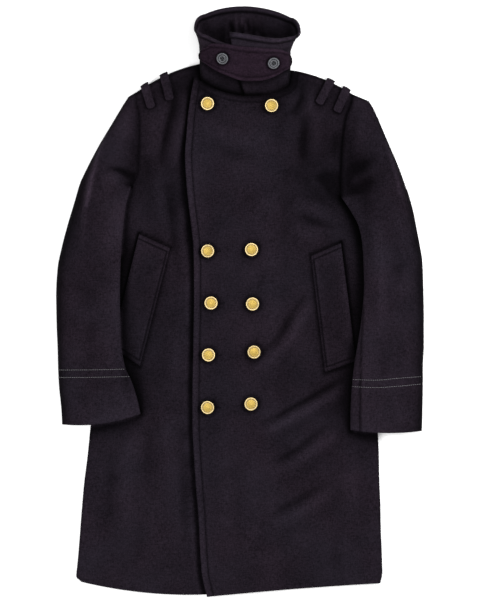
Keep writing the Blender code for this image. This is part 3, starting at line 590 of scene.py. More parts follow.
# The studio, in metres and watts. Only the light over the coat shows in reflections.
# name, place, size, power, seen in reflections
LIGHTS = (
    ("right", (2.5, 0.9, 1.5), 2.0, 144.0, False),
    ("left", (-2.7, -1.1, 1.6), 2.0, 112.0, False),
    ("over", (0.05, 0.3, 3.6), 1.5, 14.0, True),
)
WORLD_STRENGTH = 0.48
CAMERA_AT = (0.010, 0.003, 10.0)
CAMERA_LENS = 299.6
# The floor glows a little, but for its middle face, which the coat covers.
FLOOR_TONE = 0.95
FLOOR_GLOW = 0.16
FLOOR_X = (-6.0, -0.24, 0.24, 6.0)
FLOOR_Y = (-6.0, 0.1, 0.32, 6.0)
FLOOR_FACES = (0, 1, 2, 4, 5, 6, 8, 9, 10)
FLOOR_COVERED = 4


def smooth(value, low, high):
    t = np.clip((np.asarray(value, float) - low) / (high - low), 0.0, 1.0)
    return t * t * (3.0 - 2.0 * t)


def quarter(value):
    """The height of a quarter circle at this share of its width."""
    t = np.clip(np.asarray(value, float), 0.0, 1.0)
    return np.sqrt(1.0 - (1.0 - t) ** 2)


def bell(away, width):
    return np.exp(-((away / width) ** 2))


def mounds(x, y, table):
    """The sum of soft mounds, each with its centre, its reach both ways and its height."""
    total = np.zeros(np.broadcast(x, y).shape)
    for cx, cy, reach_x, reach_y, rise in table:
        total += rise * np.exp(-(((x - cx) / reach_x) ** 2) - ((y - cy) / reach_y) ** 2)
    return total


def close_ends(close, middle):
    """Shares from 0 to 1, with close steps at both ends."""
    close = np.asarray(close, float)
    even = np.linspace(close[-1], 1.0 - close[-1], middle)
    return np.concatenate([close[:-1], even, 1.0 - close[:-1][::-1]])


def curve(knots, values, at):
    """A smooth curve through a table's rows that doesn't overshoot them."""
    knots, values = np.asarray(knots, float), np.asarray(values, float)
    at = np.asarray(at, float)
    gap = np.diff(knots)[:, None]
    slope = np.diff(values, axis=0) / gap
    tangent = np.zeros_like(values)
    tangent[0], tangent[-1] = slope[0], slope[-1]
    same = slope[:-1] * slope[1:] > 0
    both = np.where(same, slope[:-1] + slope[1:], 1.0)
    tangent[1:-1] = np.where(same, 2.0 * slope[:-1] * slope[1:] / both, 0.0)
    i = np.clip(np.searchsorted(knots, at, side="right") - 1, 0, len(knots) - 2)
    t = ((at - knots[i]) / gap[i, 0])[:, None]
    near = (1 + 2 * t) * (1 - t) ** 2 * values[i] + t * (1 - t) ** 2 * gap[i] * tangent[i]
    return near + t * t * (3 - 2 * t) * values[i + 1] + t * t * (t - 1) * gap[i] * tangent[i + 1]


def track(table, steps, corners=()):
    """A table's rows at part steps, smooth but for its corners."""
    table = np.array(table, float)
    ends = [0, *corners, len(table) - 1]
    found = np.zeros((len(steps), table.shape[1]))
    for a, b in zip(ends[:-1], ends[1:]):
        here = (steps >= a) & (steps <= b)
        found[here] = curve(np.arange(a, b + 1), table[a : b + 1], steps[here])
    return found


def line_through(points, count):
    """A smooth line of many points through a few."""
    points = np.array(points, float)
    return curve(np.arange(len(points)), points, np.linspace(0.0, len(points) - 1.0, count))


def fine_steps(count):
    last = count - 1.0
    even = np.linspace(0.0, last, int(last) * ROWS_PER_STEP + 1)
    close = np.array(CLOSE_STEPS)
    return np.unique(np.round(np.concatenate([even, close, last - close]), 6))


def nearest(x, y, line):
    """The distance to a line, the share along it of the nearest point, and the side."""
    line = np.asarray(line, float)
    long = np.concatenate([[0.0], np.cumsum(np.linalg.norm(np.diff(line, axis=0), axis=1))])
    found = np.full(np.shape(x), 1e9)
    share = np.zeros(np.shape(x))
    side = np.zeros(np.shape(x))
    for k in range(len(line) - 1):
        (ax, ay), (bx, by) = line[k], line[k + 1]
        dx, dy = bx - ax, by - ay
        t = np.clip(((x - ax) * dx + (y - ay) * dy) / max(dx * dx + dy * dy, 1e-9), 0.0, 1.0)
        away = np.hypot(x - ax - t * dx, y - ay - t * dy)
        closer = away < found
        found = np.where(closer, away, found)
        share = np.where(closer, (long[k] + t * (long[k + 1] - long[k])) / long[-1], share)
        side = np.where(closer, np.sign(dx * (y - ay) - dy * (x - ax)), side)
    return found, share, side


def to_line(x, y, line):
    return nearest(x, y, line)[0]


def to_lines(x, y, lines):
    """The distance to the nearest of several lines."""
    return np.min([to_line(x, y, line) for line in lines], axis=0)


def x_on(line, y):
    """Where a line that runs up or down the coat crosses these heights."""
    order = np.argsort(line[:, 1])
    return np.interp(y, line[order, 1], line[order, 0])


def row_length(row):
    return math.hypot(row[2] - row[0], row[3] - row[1])


def creases_at(x, y, creases):
    height = np.zeros(np.shape(x))
    for points, width, rise, lean in creases:
        away, share, side = nearest(x, y, line_through(points, 14))
        wide = width * (1.0 + lean * side)
        fade = np.sin(math.pi * np.clip(share, 0.0, 1.0)) ** 0.8
        height += rise * fade * bell(away, wide)
    return height


def uneven(x, y, seed, size, height):
    """A slight unevenness of the cloth, the same on each run."""
    rng = np.random.default_rng(seed)
    total = np.zeros(np.shape(x))
    for _ in range(16):
        turn = rng.uniform(0.0, math.pi)
        wave = size * rng.uniform(0.6, 1.7)
        start = rng.uniform(0.0, 2.0 * math.pi)
        total += np.sin((x * math.cos(turn) + y * math.sin(turn)) * 2.0 * math.pi / wave + start)
    return height * total / 4.0


def row_points(row, shares):
    """Plan points along a row that runs from outer to inner, bowed in its middle."""
    ox, oy, ix, iy, bow = row
    x = ox + (ix - ox) * shares
    y = oy + (iy - oy) * shares + bow * 4.0 * shares * (1.0 - shares)
    return x, y


def end_shares(length, start, end, middle):
    """Shares along a row, close together at its ends."""
    scale = min(1.0, length / 90.0) / length
    near, far = np.array(start) * scale, 1.0 - np.array(end)[::-1] * scale
    return np.concatenate([near[:-1], np.linspace(near[-1], far[0], middle), far[1:]])


def ring_values(height):
    table = np.array(COLLAR_RINGS, float)
    flat = np.ravel(np.minimum(height, 1.0))
    values = curve(table[:, 0], table[:, 1:], flat)
    slope = (table[-1, 1:] - table[-2, 1:]) / (table[-1, 0] - table[-2, 0])
    values = values + slope * np.maximum(np.ravel(height) - 1.0, 0.0)[:, None]
    return [v.reshape(np.shape(height)) for v in values.T]


def collar_point(angle, height):
    """A point of the collar's outside. Angle 0 is the wearer's left, 90 the back, -90 the front."""
    angle, height = np.broadcast_arrays(np.asarray(angle, float), np.asarray(height, float))
    centre_x, half_width, centre_y, back, front, skew, rise = ring_values(height)
    c, s = np.cos(np.radians(angle)), np.sin(np.radians(angle))
    arched = rise * (1.0 - COLLAR_ARCH * c * c)
    turn = np.clip(s / COLLAR_FLAT, -1.0, 1.0)
    straight = np.minimum(1.0, np.abs(c) / math.sqrt(1.0 - COLLAR_FLAT**2))
    out = (half_width - arched) * straight + arched * np.sqrt(1.0 - turn**2)
    x = centre_x + np.sign(c) * out
    y = centre_y + np.where(s > 0, back, front) * s + skew * c
    return np.stack([x, y, arched * (1.0 - turn)], axis=-1)


def collar_out(angle, height, away):
    """A point of the collar's outside, moved out along the surface's normal."""
    step_a, step_h = 2.0, 0.04
    along = collar_point(angle + step_a, height) - collar_point(angle - step_a, height)
    up = collar_point(angle, height + step_h) - collar_point(angle, height - step_h)
    normal = np.cross(along, up)
    normal = normal / np.linalg.norm(normal, axis=-1, keepdims=True)
    return collar_point(angle, height) + normal * np.asarray(away, float)[..., None], normal


def collar_lap(angle):
    """How far the end on top lies out from the end beneath it."""
    return COLLAR_LAP * smooth(-np.asarray(angle, float), LAP_ANGLE_FROM, LAP_ANGLE_TO)


def neck_points(angles):
    """Points of a front's neck edge, just clear of the collar's base."""
    here = collar_point(np.asarray(angles, float), 0.0)[:, :2]
    away = here - np.array([COLLAR_RINGS[0][1], COLLAR_RINGS[0][3] - 10.0])
    return here + away / np.linalg.norm(away, axis=1, keepdims=True) * NECK_SEAM


def sleeve_rows(sleeve, steps):
    table = np.array(sleeve, float)
    outer, rest = track(table[:, :2], steps), track(table[:, 4:], steps)
    inner = track(table[:, 2:4], steps, (ARMPIT_ROW,))
    return np.concatenate([outer, inner, rest], axis=1)


def front_rows(side, sleeve, neck_angles, upper_edge, table, steps):
    """The rows of a front: its armhole rows run to the neck, the others to the front edge."""
    table = np.array(table, float)
    corner = len(neck_angles)
    edge_table = np.array([*upper_edge, *table[:, 2:4]], float)
    edge = neck_points(np.interp(steps, np.arange(corner), neck_angles))
    start = neck_points([neck_angles[-1]])[0]
    part = np.clip(steps - (corner - 1), 0.0, 1.0)[:, None]
    edge = np.where(part > 0, start + (edge_table[0] - start) * part, edge)
    below = steps >= corner
    edge[below] = track(edge_table, steps[below] - corner)
    hanging = np.zeros((len(steps), 2))
    upper = steps < ARMPIT_ROW
    seam = np.array([side * SEAM, 0.0])
    hanging[upper] = track(np.array(sleeve, float)[: ARMPIT_ROW + 1, 2:4], steps[upper]) - seam
    hanging[~upper] = track(table[:, :2], steps[~upper] - ARMPIT_ROW)
    bow = SHOULDER_BOW * np.maximum(1.0 - steps, 0.0)
    bow[~upper] = track(table[:, 4:5], steps[~upper] - ARMPIT_ROW)[:, 0]
    return np.concatenate([hanging, edge, bow[:, None]], axis=1)


STEPS_RIGHT = fine_steps(len(FRONT_RIGHT) + ARMPIT_ROW)
STEPS_LEFT = fine_steps(len(FRONT_LEFT) + ARMPIT_ROW)
STEPS_SLEEVE = fine_steps(len(SLEEVE_RIGHT))
ROWS_RIGHT = front_rows(-1, SLEEVE_RIGHT, NECK_ANGLES_RIGHT, UPPER_EDGE_RIGHT, FRONT_RIGHT, STEPS_RIGHT)
ROWS_LEFT = front_rows(1, SLEEVE_LEFT, NECK_ANGLES_LEFT, UPPER_EDGE_LEFT, FRONT_LEFT, STEPS_LEFT)


def folded_lines():
    """The edges where the cloth turns over: shoulders, the sleeves' heads and the body's sides."""
    lines = []
    right, left = (ROWS_RIGHT, STEPS_RIGHT, SLEEVE_RIGHT), (ROWS_LEFT, STEPS_LEFT, SLEEVE_LEFT)
    for rows, steps, sleeve in (right, left):
        x, y = row_points(rows[0], np.linspace(1.0, 0.0, SHOULDER_POINTS))
        head = sleeve_rows(sleeve, np.linspace(0.0, SLEEVE_HEAD_ROWS - 1.0, 45))[:, :2]
        lines.append(np.concatenate([np.stack([x, y], axis=1), head]))
        lines.append(rows[steps >= ARMPIT_ROW][::3, :2])
    return lines


FOLDED = folded_lines()
SIDE_RIGHT, SIDE_LEFT = FOLDED[1], FOLDED[3]
EDGE_LEFT = ROWS_LEFT[STEPS_LEFT >= len(NECK_ANGLES_LEFT)][:, 2:4]
NECK_LEFT = ROWS_LEFT[STEPS_LEFT <= len(NECK_ANGLES_LEFT)][:, 2:4]
NECK_RIGHT = ROWS_RIGHT[STEPS_RIGHT <= len(NECK_ANGLES_RIGHT) - 1][:, 2:4]
HEM_LEFT = np.stack(row_points(ROWS_LEFT[-1], np.linspace(0.0, 1.0, 60)), axis=1)
HEM_RIGHT = np.stack(row_points(ROWS_RIGHT[-1], np.linspace(0.0, 1.0, 60)), axis=1)
INNER_RIGHT = sleeve_rows(SLEEVE_RIGHT, np.linspace(ARMPIT_ROW, len(SLEEVE_RIGHT) - 1.0, 60))[:, 2:4]
INNER_LEFT = sleeve_rows(SLEEVE_LEFT, np.linspace(ARMPIT_ROW, len(SLEEVE_LEFT) - 1.0, 60))[:, 2:4]


def offset_line(line, away):
    """A line beside another, to its left for positive values."""
    run = np.gradient(np.asarray(line, float), axis=0)
    run = run / np.linalg.norm(run, axis=1, keepdims=True)
    return line + np.stack([-run[:, 1], run[:, 0]], axis=1) * away


STITCH_EDGE = offset_line(EDGE_LEFT, EDGE_STITCH)
STITCH_EDGE = STITCH_EDGE[STITCH_EDGE[:, 1] < UPPER_EDGE_LEFT[0][1] - EDGE_STITCH]
STITCH_NECK = offset_line(NECK_LEFT[::2], EDGE_STITCH)
STITCH_NECK = STITCH_NECK[STITCH_NECK[:, 0] > STITCH_EDGE[0, 0]]


def level(x, y):
    """The outside of the cloth that lies on the back, before its own folds."""
    edge = to_lines(x, y, FOLDED)
    settled = smooth(edge, SETTLE_FROM, SETTLE_TO)
    rounded = RIM + (BODY_TOP - RIM) * quarter(edge / EDGE_ROUND)
    return rounded + mounds(x, y, SWELLS) * settled, settled


def free_of_sleeve(x, y, inner, side):
    """From 0 under a sleeve to 1 clear of it."""
    beside = smooth((x_on(inner, y) - x) * side, 2.0, 36.0)
    span = smooth(y, inner[:, 1].min() - 40.0, inner[:, 1].min() - 10.0)
    span = span * (1.0 - smooth(y, inner[:, 1].max() - 5.0, inner[:, 1].max() + 30.0))
    return 1.0 - span * (1.0 - beside)


def welt_sink(x, y, corners):
    """The cloth is pulled in a little along the sewn edges of a pocket welt."""
    return -1.4 * bell(to_line(x, y, [*corners, corners[0]]), 3.8)


def shoulder_seam(x, y, side):
    """The seam that lies a little in front of the shoulder's fold."""
    away = to_line(x, y, FOLDED[0 if side < 0 else 2][:SHOULDER_POINTS])
    return -0.9 * bell(away - 5.5, 1.3) + 0.5 * bell(away - 9.5, 3.0)


def right_top(x, y):
    """The outside of the front beneath. It sinks a little where the other front lies on it."""
    height, settled = level(x, y)
    edge_x = x_on(EDGE_LEFT, y)
    covered = smooth(x - edge_x, -4.0, 16.0)
    shown = free_of_sleeve(x, y, INNER_RIGHT, -1) * (1.0 - covered)
    fold = (creases_at(x, y, CREASES_RIGHT) + uneven(x, y, 3, 70.0, 0.45)) * settled * shown
    beside = -2.2 * bell(np.minimum(x - edge_x + 3.0, 0.0), 9.0) * (1.0 - covered)
    beside = beside * (1.0 - smooth(y, 420.0, 446.0))
    sunk = -COVERED_SINK * covered + beside + welt_sink(x, y, WELT_RIGHT)
    return height + fold + shoulder_seam(x, y, -1) + sunk * smooth(height, 6.0, 9.0)


def left_top(x, y):
    """The outside of the front on top, which steps up where it lies on the other front."""
    height, settled = level(x, y)
    clear = smooth(x, UNDER_EDGE_X + LAP_HOLD, UNDER_EDGE_X + LAP_RUN)
    lap = (CLOTH + LAP_LAY) * (1.0 - clear)
    fold = (creases_at(x, y, CREASES_LEFT) + uneven(x, y, 5, 75.0, 0.45)) * settled
    fold = fold * free_of_sleeve(x, y, INNER_LEFT, 1)
    from_edge = to_line(x, y, EDGE_LEFT)
    near = bell(from_edge, EDGE_LIFT_REACH)
    starts = smooth(y, EDGE_LIFT_LOW, EDGE_LIFT_LOW + EDGE_LIFT_FADE)
    ends = 1.0 - smooth(y, EDGE_LIFT_HIGH - EDGE_LIFT_FADE, EDGE_LIFT_HIGH)
    sewn = np.minimum(to_line(x, y, STITCH_EDGE), to_line(x, y, STITCH_NECK))
    quilt = -1.6 * bell(sewn, 1.8) + 0.6 * bell(sewn, 7.0)
    for bx, by in GOLD_BUTTONS:
        quilt = quilt - 0.9 * np.exp(-(((x - bx) ** 2 + (y - by) ** 2) / 12.0**2))
    rolled = 1.3 * bell(from_edge, 8.0) + welt_sink(x, y, WELT_LEFT)
    return height + lap + fold + EDGE_LIFT * near * starts * ends + quilt + rolled + shoulder_seam(x, y, 1)


def shell(name, outside, inside, finish):
    """A closed shell between two grids of points."""
    rows, columns = outside.shape[:2]
    points = np.concatenate([outside.reshape(-1, 3), inside.reshape(-1, 3)])
    offset = rows * columns
    index = np.arange(offset).reshape(rows, columns)
    a, b, c, d = index[:-1, :-1], index[:-1, 1:], index[1:, 1:], index[1:, :-1]
    top = np.stack([a, b, c, d], axis=-1).reshape(-1, 4)
    border = np.concatenate([index[0, :], index[1:, -1], index[-1, -2::-1], index[-2:0:-1, 0]])
    after = np.roll(border, -1)
    rim = np.stack([after, border, border + offset, after + offset], axis=1)
    faces = np.concatenate([top, top[:, ::-1] + offset, rim])
    normal = np.cross(outside[:-1, 1:] - outside[:-1, :-1], outside[1:, :-1] - outside[:-1, :-1])
    if (normal * (outside - inside)[:-1, :-1]).sum() < 0:
        faces = faces[:, ::-1]
    return mesh_object(name, points, faces, finish)


def mesh_object(name, points, faces, finish):
    mesh = bpy.data.meshes.new(name)
    points = np.asarray(points, np.float32) * MM
    if isinstance(faces, np.ndarray):
        count, corners = len(faces), faces.shape[1]
        mesh.vertices.add(len(points))
        mesh.vertices.foreach_set("co", points.ravel())
        mesh.loops.add(count * corners)
        mesh.loops.foreach_set("vertex_index", np.ascontiguousarray(faces, np.int32).ravel())
        mesh.polygons.add(count)
        mesh.polygons.foreach_set("loop_start", np.arange(count, dtype=np.int32) * corners)
        mesh.update(calc_edges=True)
    else:
        mesh.from_pydata(points.tolist(), [], faces)
        mesh.update()
    mesh.validate()
    mesh.polygons.foreach_set("use_smooth", np.ones(len(mesh.polygons), bool))
    mesh.materials.append(finish)
    made = bpy.data.objects.new(name, mesh)
    bpy.context.scene.collection.objects.link(made)
    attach(made, "root")
    return made


def grid_normals(grid):
    """Normals of a grid of points that face up."""
    normal = np.cross(np.gradient(grid, axis=1), np.gradient(grid, axis=0))
    normal = normal / np.maximum(np.linalg.norm(normal, axis=2, keepdims=True), 1e-12)
    return np.where(normal[..., 2:3] < 0, -normal, normal)


def underside(grid, thickness, floor, free_edge):
    """The inside of a panel, straight below its outside, and turned under at its free edges."""
    steep = np.maximum(grid_normals(grid)[..., 2], 0.5)
    turn = EDGE_TURN * (1.0 - quarter(free_edge / EDGE_TURN))
    inside = grid.copy()
    inside[..., 2] = np.maximum(grid[..., 2] - thickness / steep, floor) + turn * 0.85
    outside = grid.copy()
    outside[..., 2] -= turn
    inside[..., 2] = np.minimum(inside[..., 2], outside[..., 2] - THIN)
    return outside, inside


def front_panel(name, rows, steps, top, free_lines, finish):
    """A front: folded at the shoulder and side, free at the front edge and hem."""
    depth = ARMHOLE_RIGHT if rows is ROWS_RIGHT else ARMHOLE_LEFT
    columns = len(SIDE_STEPS) + len(EDGE_STEPS) + FRONT_MIDDLE - 2
    grid = np.zeros((len(rows), columns, 3))
    seam = np.zeros(grid.shape[:2])
    for i, row in enumerate(rows):
        length = row_length(row)
        share = end_shares(length, SIDE_STEPS, EDGE_STEPS, FRONT_MIDDLE)
        grid[i, :, 0], grid[i, :, 1] = row_points(row, share)
        if steps[i] < ARMPIT_ROW:
            seam[i] = -depth * bell(share * length, 3.0) * smooth(steps[i], 0.0, 0.4)
    x, y = grid[..., 0], grid[..., 1]
    grid[..., 2] = np.maximum(top(x, y) + seam, RIM)
    outside, inside = underside(grid, CLOTH, RIM, to_lines(x, y, free_lines))
    return shell(name, outside, inside, finish)


def bed_of(bed, step, x, y, side_line, side):
    """The underside of a sleeve: on the surface, then up over the body's side."""
    rise = np.interp(step, *np.array(ARMPIT_RISE).T)
    return rise * bed * smooth((x_on(side_line, y) - x) * side, RAMP_FROM, RAMP_TO)


def sleeve_pair(name, sections, side_line, side, creases, seed, finish, back_finish):
    """The under sleeve lies flat and crosses the body's side; the top sleeve arches over it."""
    steps = STEPS_SLEEVE
    table = sleeve_rows(sections, steps)
    count = 2 * len(SIDE_STEPS) + UNDER_MIDDLE - 2
    under = np.zeros((len(table), count, 3))
    for i, row in enumerate(table):
        length = row_length(row)
        share = end_shares(length, SIDE_STEPS, SIDE_STEPS, UNDER_MIDDLE)
        x, y = row_points((*row[:4], row[8]), share)
        under[i, :, 0], under[i, :, 1] = x, y
        under[i, :, 2] = bed_of(row[6], steps[i], x, y, side_line, side) + CLOTH
    rims = [under[:, 0, :2], under[-1, :, :2], under[:, -1, :2][steps >= ARMPIT_ROW]]
    free = to_lines(under[..., 0], under[..., 1], rims)
    outside, _ = underside(under, CLOTH, 0.0, free)
    inside = under - np.array([0.0, 0.0, CLOTH])
    lower = shell(name + "_under", outside, np.minimum(inside, outside - [0, 0, THIN]), back_finish)

    count = 2 * len(SIDE_STEPS) + SLEEVE_MIDDLE - 2
    grid = np.zeros((len(table), count, 3))
    for i, row in enumerate(table):
        length = row_length(row)
        s = end_shares(length, SIDE_STEPS, SIDE_STEPS, SLEEVE_MIDDLE)
        lapped = SEAM_LAP * (1.0 - smooth(steps[i], ARMPIT_ROW - 1.5, ARMPIT_ROW))
        x, y = row_points((*row[:4], row[8]), s * (1.0 + lapped / length))
        extra, crest, bed, opened = row[4:8]
        past = np.clip((s - CREST_SHARE) / (1.0 - CREST_SHARE), 0.0, 1.0)
        fall = 0.5 * (1.0 + np.cos(math.pi * past))
        swell = np.where(s < CREST_SHARE, quarter(s / CREST_SHARE), fall)
        from_rim = (1.0 - s) * length
        lift = ARMPIT_LIFT * smooth(steps[i], ARMPIT_ROW - 3.0, ARMPIT_ROW - 0.2)
        head = level(x, y)[0] + extra * swell + lift * smooth(s, 0.0, 0.5)
        depth = ARMHOLE_LEFT if side > 0 else ARMHOLE_RIGHT
        eased = bell(from_rim - 10.0, 6.0) - 1.4 * bell(from_rim, 3.0)
        head = head + eased * depth * smooth(steps[i], 0.0, 0.5)
        rest = bed_of(bed, steps[i], x, y, side_line, side)
        carried = bed_of(bed, ARMPIT_ROW + 1.0, x, y, side_line, side)
        arch = np.sqrt(np.maximum(1.0 - np.abs(2.0 * s - 1.0) ** ARCH_POWER, 0.0))
        base = RIM + carried[-1] * s
        tall = crest - RIM - carried[-1] * 0.5
        free_part = base + tall * (arch * (1.0 - opened) + swell * opened)
        run = 0.7 + 2.3 * smooth(1.0 - s, 0.04, 0.5)
        share = smooth(steps[i], ARMPIT_ROW - run, ARMPIT_ROW + 0.5 * run)
        height = head * (1.0 - share) + free_part * share
        inner = quarter(np.minimum(s, 1.0 - s) * length / 34.0)
        fold = creases_at(x, y, creases) + uneven(x, y, seed, 60.0, 0.5)
        height = height + fold * inner * smooth(steps[i], 0.3, 1.5)
        least = RIM + rest + (CLOTH + 2.0 * SEAM) * quarter(from_rim / 4.0)
        height = np.maximum(height, np.where(steps[i] > ARMPIT_ROW - 0.5, least, RIM))
        grid[i] = np.stack([x, y, height], axis=1)
    x, y = grid[..., 0], grid[..., 1]
    if side > 0:
        sewn = to_line(x, y, SLEEVE_SEAM)
        fade = smooth(-y, -10.0, 90.0)
        line = np.array(SLEEVE_SEAM)[::-1]
        strip = smooth(np.interp(y, line[:, 1], line[:, 0]) - x, -0.5, 1.5)
        grid[..., 2] += (-2.4 * bell(sewn, 1.7) - 1.6 * strip) * fade
    for line in CUFF_LEFT if side > 0 else CUFF_RIGHT:
        sewn = to_line(x, y, line_through(line, 20))
        grid[..., 2] += -0.5 * bell(sewn, 1.5) + 0.25 * bell(sewn, 5.0)
    outside, inside = underside(grid, CLOTH, RIM, to_line(x, y, grid[-1, :, :2]))
    upper = shell(name + "_top", outside, inside, finish)
    return upper, lower, outside


def back_panel(name, finish):
    """The back, one plain panel on the surface, with a turned edge."""
    x, y = row_points(ROWS_RIGHT[0], np.linspace(1.0, 0.0, SHOULDER_POINTS))
    outline = list(zip(x, y))
    outline += [tuple(row[:2]) for row in ROWS_RIGHT[1::2]]
    x, y = row_points(ROWS_RIGHT[-1], np.linspace(0.02, 0.64, 30))
    outline += list(zip(x, y + 2.0))
    x, y = row_points(ROWS_LEFT[-1], np.linspace(0.96, 0.02, 30))
    outline += list(zip(x, y + 2.0))
    outline += [tuple(row[:2]) for row in ROWS_LEFT[:0:-2]]
    x, y = row_points(ROWS_LEFT[0], np.linspace(0.0, 1.0, SHOULDER_POINTS))
    outline += list(zip(x, y))
    neck = collar_point(np.linspace(20.0, 160.0, 40), 0.0)
    outline += [(p[0], p[1] - 2.0 * NECK_SEAM) for p in neck]
    outline = np.array(outline)
    keep = np.linalg.norm(outline - np.roll(outline, 1, axis=0), axis=1) > 0.8
    outline = outline[keep]
    run = np.roll(outline, -1, axis=0) - np.roll(outline, 1, axis=0)
    run = run / np.linalg.norm(run, axis=1, keepdims=True)
    inward = np.stack([-run[:, 1], run[:, 0]], axis=1)
    rings = ((0.9, 0.0), (0.25, 0.45), (0.0, 1.4), (0.25, 2.35), (0.9, CLOTH))
    count = len(outline)
    points = np.concatenate(
        [np.column_stack([outline + inward * into, np.full(count, z)]) for into, z in rings]
    )
    faces = [list(range(count - 1, -1, -1)), list(range((len(rings) - 1) * count, len(rings) * count))]
    for r in range(len(rings) - 1):
        for i in range(count):
            k = (i + 1) % count
            faces.append([r * count + i, r * count + k, (r + 1) * count + k, (r + 1) * count + i])
    return mesh_object(name, points, faces, finish)


def collar_field(share, height):
    """Angle, height and distance out of the collar's strip."""
    end = COLLAR_END_BASE + COLLAR_END_SLANT * height
    angle = COLLAR_START + (end - COLLAR_START) * share
    rise = 1.0 + COLLAR_POINT_RISE * smooth(-angle, POINT_ANGLE_FROM, POINT_ANGLE_TO)
    rise = rise - COLLAR_UNDER_DROP * smooth(angle, UNDER_ANGLE_FROM, UNDER_ANGLE_TO)
    return angle, height * rise, collar_lap(angle)


def collar(name, finish):
    """One strip round the neck: the right end lies beneath, the slanted left end on top."""
    share = close_ends(COLLAR_CLOSE_ENDS, COLLAR_COLUMNS)
    close = np.array(COLLAR_CLOSE_TOP)
    height = np.concatenate([np.linspace(0.0, 1.0 - close[-1], COLLAR_ROWS), 1.0 - close[:-1][::-1]])
    share, height = np.meshgrid(share, height)
    angle, tall, lap = collar_field(share, height)
    deep = COLLAR_DEEP
    free = np.minimum(np.minimum(share, 1.0 - share) * COLLAR_LONG, (1.0 - height) * deep)
    turn = EDGE_TURN * (1.0 - quarter(free / EDGE_TURN)) * 0.9
    groove = -1.7 * bell((1.0 - height - COLLAR_STITCH) * deep, 1.8)
    fuller = 1.3 + 0.9 * smooth(-angle, 10.0, 50.0)
    roll = fuller * bell((1.0 - height - COLLAR_STITCH * 0.45) * deep, 4.0)
    wave = uneven(angle * 1.6, height * deep, 11, 48.0, 0.35) * smooth(height, 0.0, 0.15)
    outside, _ = collar_out(angle, tall, lap + groove + 0.8 * roll + wave * 0.7 - turn)
    padded = 1.9 * smooth(1.0 - height, COLLAR_STITCH * 0.9, COLLAR_STITCH * 1.5)
    inner = lap - COLLAR_CLOTH + turn - groove - 1.6 * roll - padded
    inside, _ = collar_out(angle, tall, inner - mounds(angle, height, COLLAR_FOLDS))
    outside[..., 2] = np.maximum(outside[..., 2], 0.02)
    inside[..., 2] = np.maximum(inside[..., 2], COLLAR_CLOTH * 0.9)
    # Lines for the collar: darker along the stitched line, painted light on the rolled top, painted shade
    # in the mouth's folds, and a painted shadow beside the slanted end on top.
    row = int(np.argmin(np.abs(height[:, 0] - (1.0 - COLLAR_STITCH))))
    behind = (angle[row] > -8.0) & (angle[row] < 190.0)
    ends = (angle[row] < -6.0, angle[row] > 196.0)
    sewn = [(inside[row, behind, :2][::2], 2.8, 0.82)]
    sewn += [(outside[row, end, :2][::2], 2.6, 0.8) for end in ends]
    top = int(np.argmin(np.abs(height[:, 0] - (1.0 - COLLAR_STITCH * 0.4))))
    sewn += [(inside[top, behind, :2][::2], 5.0, -0.6)]
    sewn += [(outside[top, end, :2][::2], 5.0, -0.55) for end in ends]
    sewn += MOUTH_FOLD_SHADES
    low = height[:, 0] < 0.42
    sewn += [(outside[low, -1, :2][::2] - np.array([2.5, 0.0]), 4.0, 0.75)]
    sewn += [(outside[::5, -1, :2] - (2.0, 0.0), 2.6, 0.7)]
    return shell(name, outside, inside, finish), sewn


def tab_away(angle):
    """How far the tab lies out from the collar: over its end on top, then down beside it."""
    beyond = smooth(-np.asarray(angle, float), TAB_DROP_FROM, TAB_DROP_TO)
    return collar_lap(angle) * (1.0 - beyond) + TAB_LAY


def tab_plan(along, across):
    """Angle and height of a point of the tab, from shares along and across it."""
    sections = np.array(TAB_SECTIONS, float)
    rows = curve(np.arange(len(sections)), sections, np.ravel(along) * (len(sections) - 1.0))
    angle, low, high = [column.reshape(np.shape(along)) for column in rows.T]
    middle, half = (low + high) / 2.0, (high - low) / 2.0
    round_end = np.minimum(along, 1.0 - along) / 0.035
    half = half * (0.72 + 0.28 * quarter(round_end))
    return angle, middle + half * (2.0 * across - 1.0)


def tab_line():
    """The sewn line inside the tab's edge, in plan."""
    a, c = TAB_STITCH / TAB_LONG, TAB_STITCH / TAB_DEEP
    corners = np.array([(a, c), (1 - a, c), (1 - a, 1 - c), (a, 1 - c), (a, c)])
    counts = (60, 18, 60, 18)
    runs = [np.linspace(p, q, n, endpoint=False) for p, q, n in zip(corners[:-1], corners[1:], counts)]
    plan = np.concatenate([*runs, corners[:1]])
    angle, height = tab_plan(plan[:, 0], plan[:, 1])
    return collar_out(angle, height, tab_away(angle) + TAB_CLOTH)[0][:, :2]


def throat_tab(name, finish):
    along = close_ends(TAB_CLOSE, TAB_COLUMNS)
    across = close_ends(np.array(TAB_CLOSE) * TAB_LONG / TAB_DEEP, TAB_ROWS)
    across, along = np.meshgrid(across, along)
    angle, height = tab_plan(along, across)
    away = tab_away(angle)
    from_ends = np.minimum(along, 1.0 - along) * TAB_LONG
    from_edge = np.minimum(from_ends, np.minimum(across, 1.0 - across) * TAB_DEEP)
    turn = 1.5 * (1.0 - quarter(from_edge / 1.5))
    groove = -1.0 * bell(from_edge - TAB_STITCH, 1.5)
    roll = 0.9 * bell(from_edge - TAB_STITCH * 0.5, 3.0)
    wave = uneven(along * TAB_LONG, across * TAB_DEEP, 17, 45.0, 0.18)
    inside, _ = collar_out(angle, height, away + turn * 0.9)
    outside, _ = collar_out(angle, height, away + TAB_CLOTH - turn + groove + roll + wave)
    return shell(name, outside, inside, finish), tab_line()


def welt_plan(corners, across, down):
    a, b, c, d = [np.array(corner, float) for corner in corners]
    across, down = across[..., None], down[..., None]
    return (a + (b - a) * across) * (1.0 - down) + (d + (c - d) * across) * down


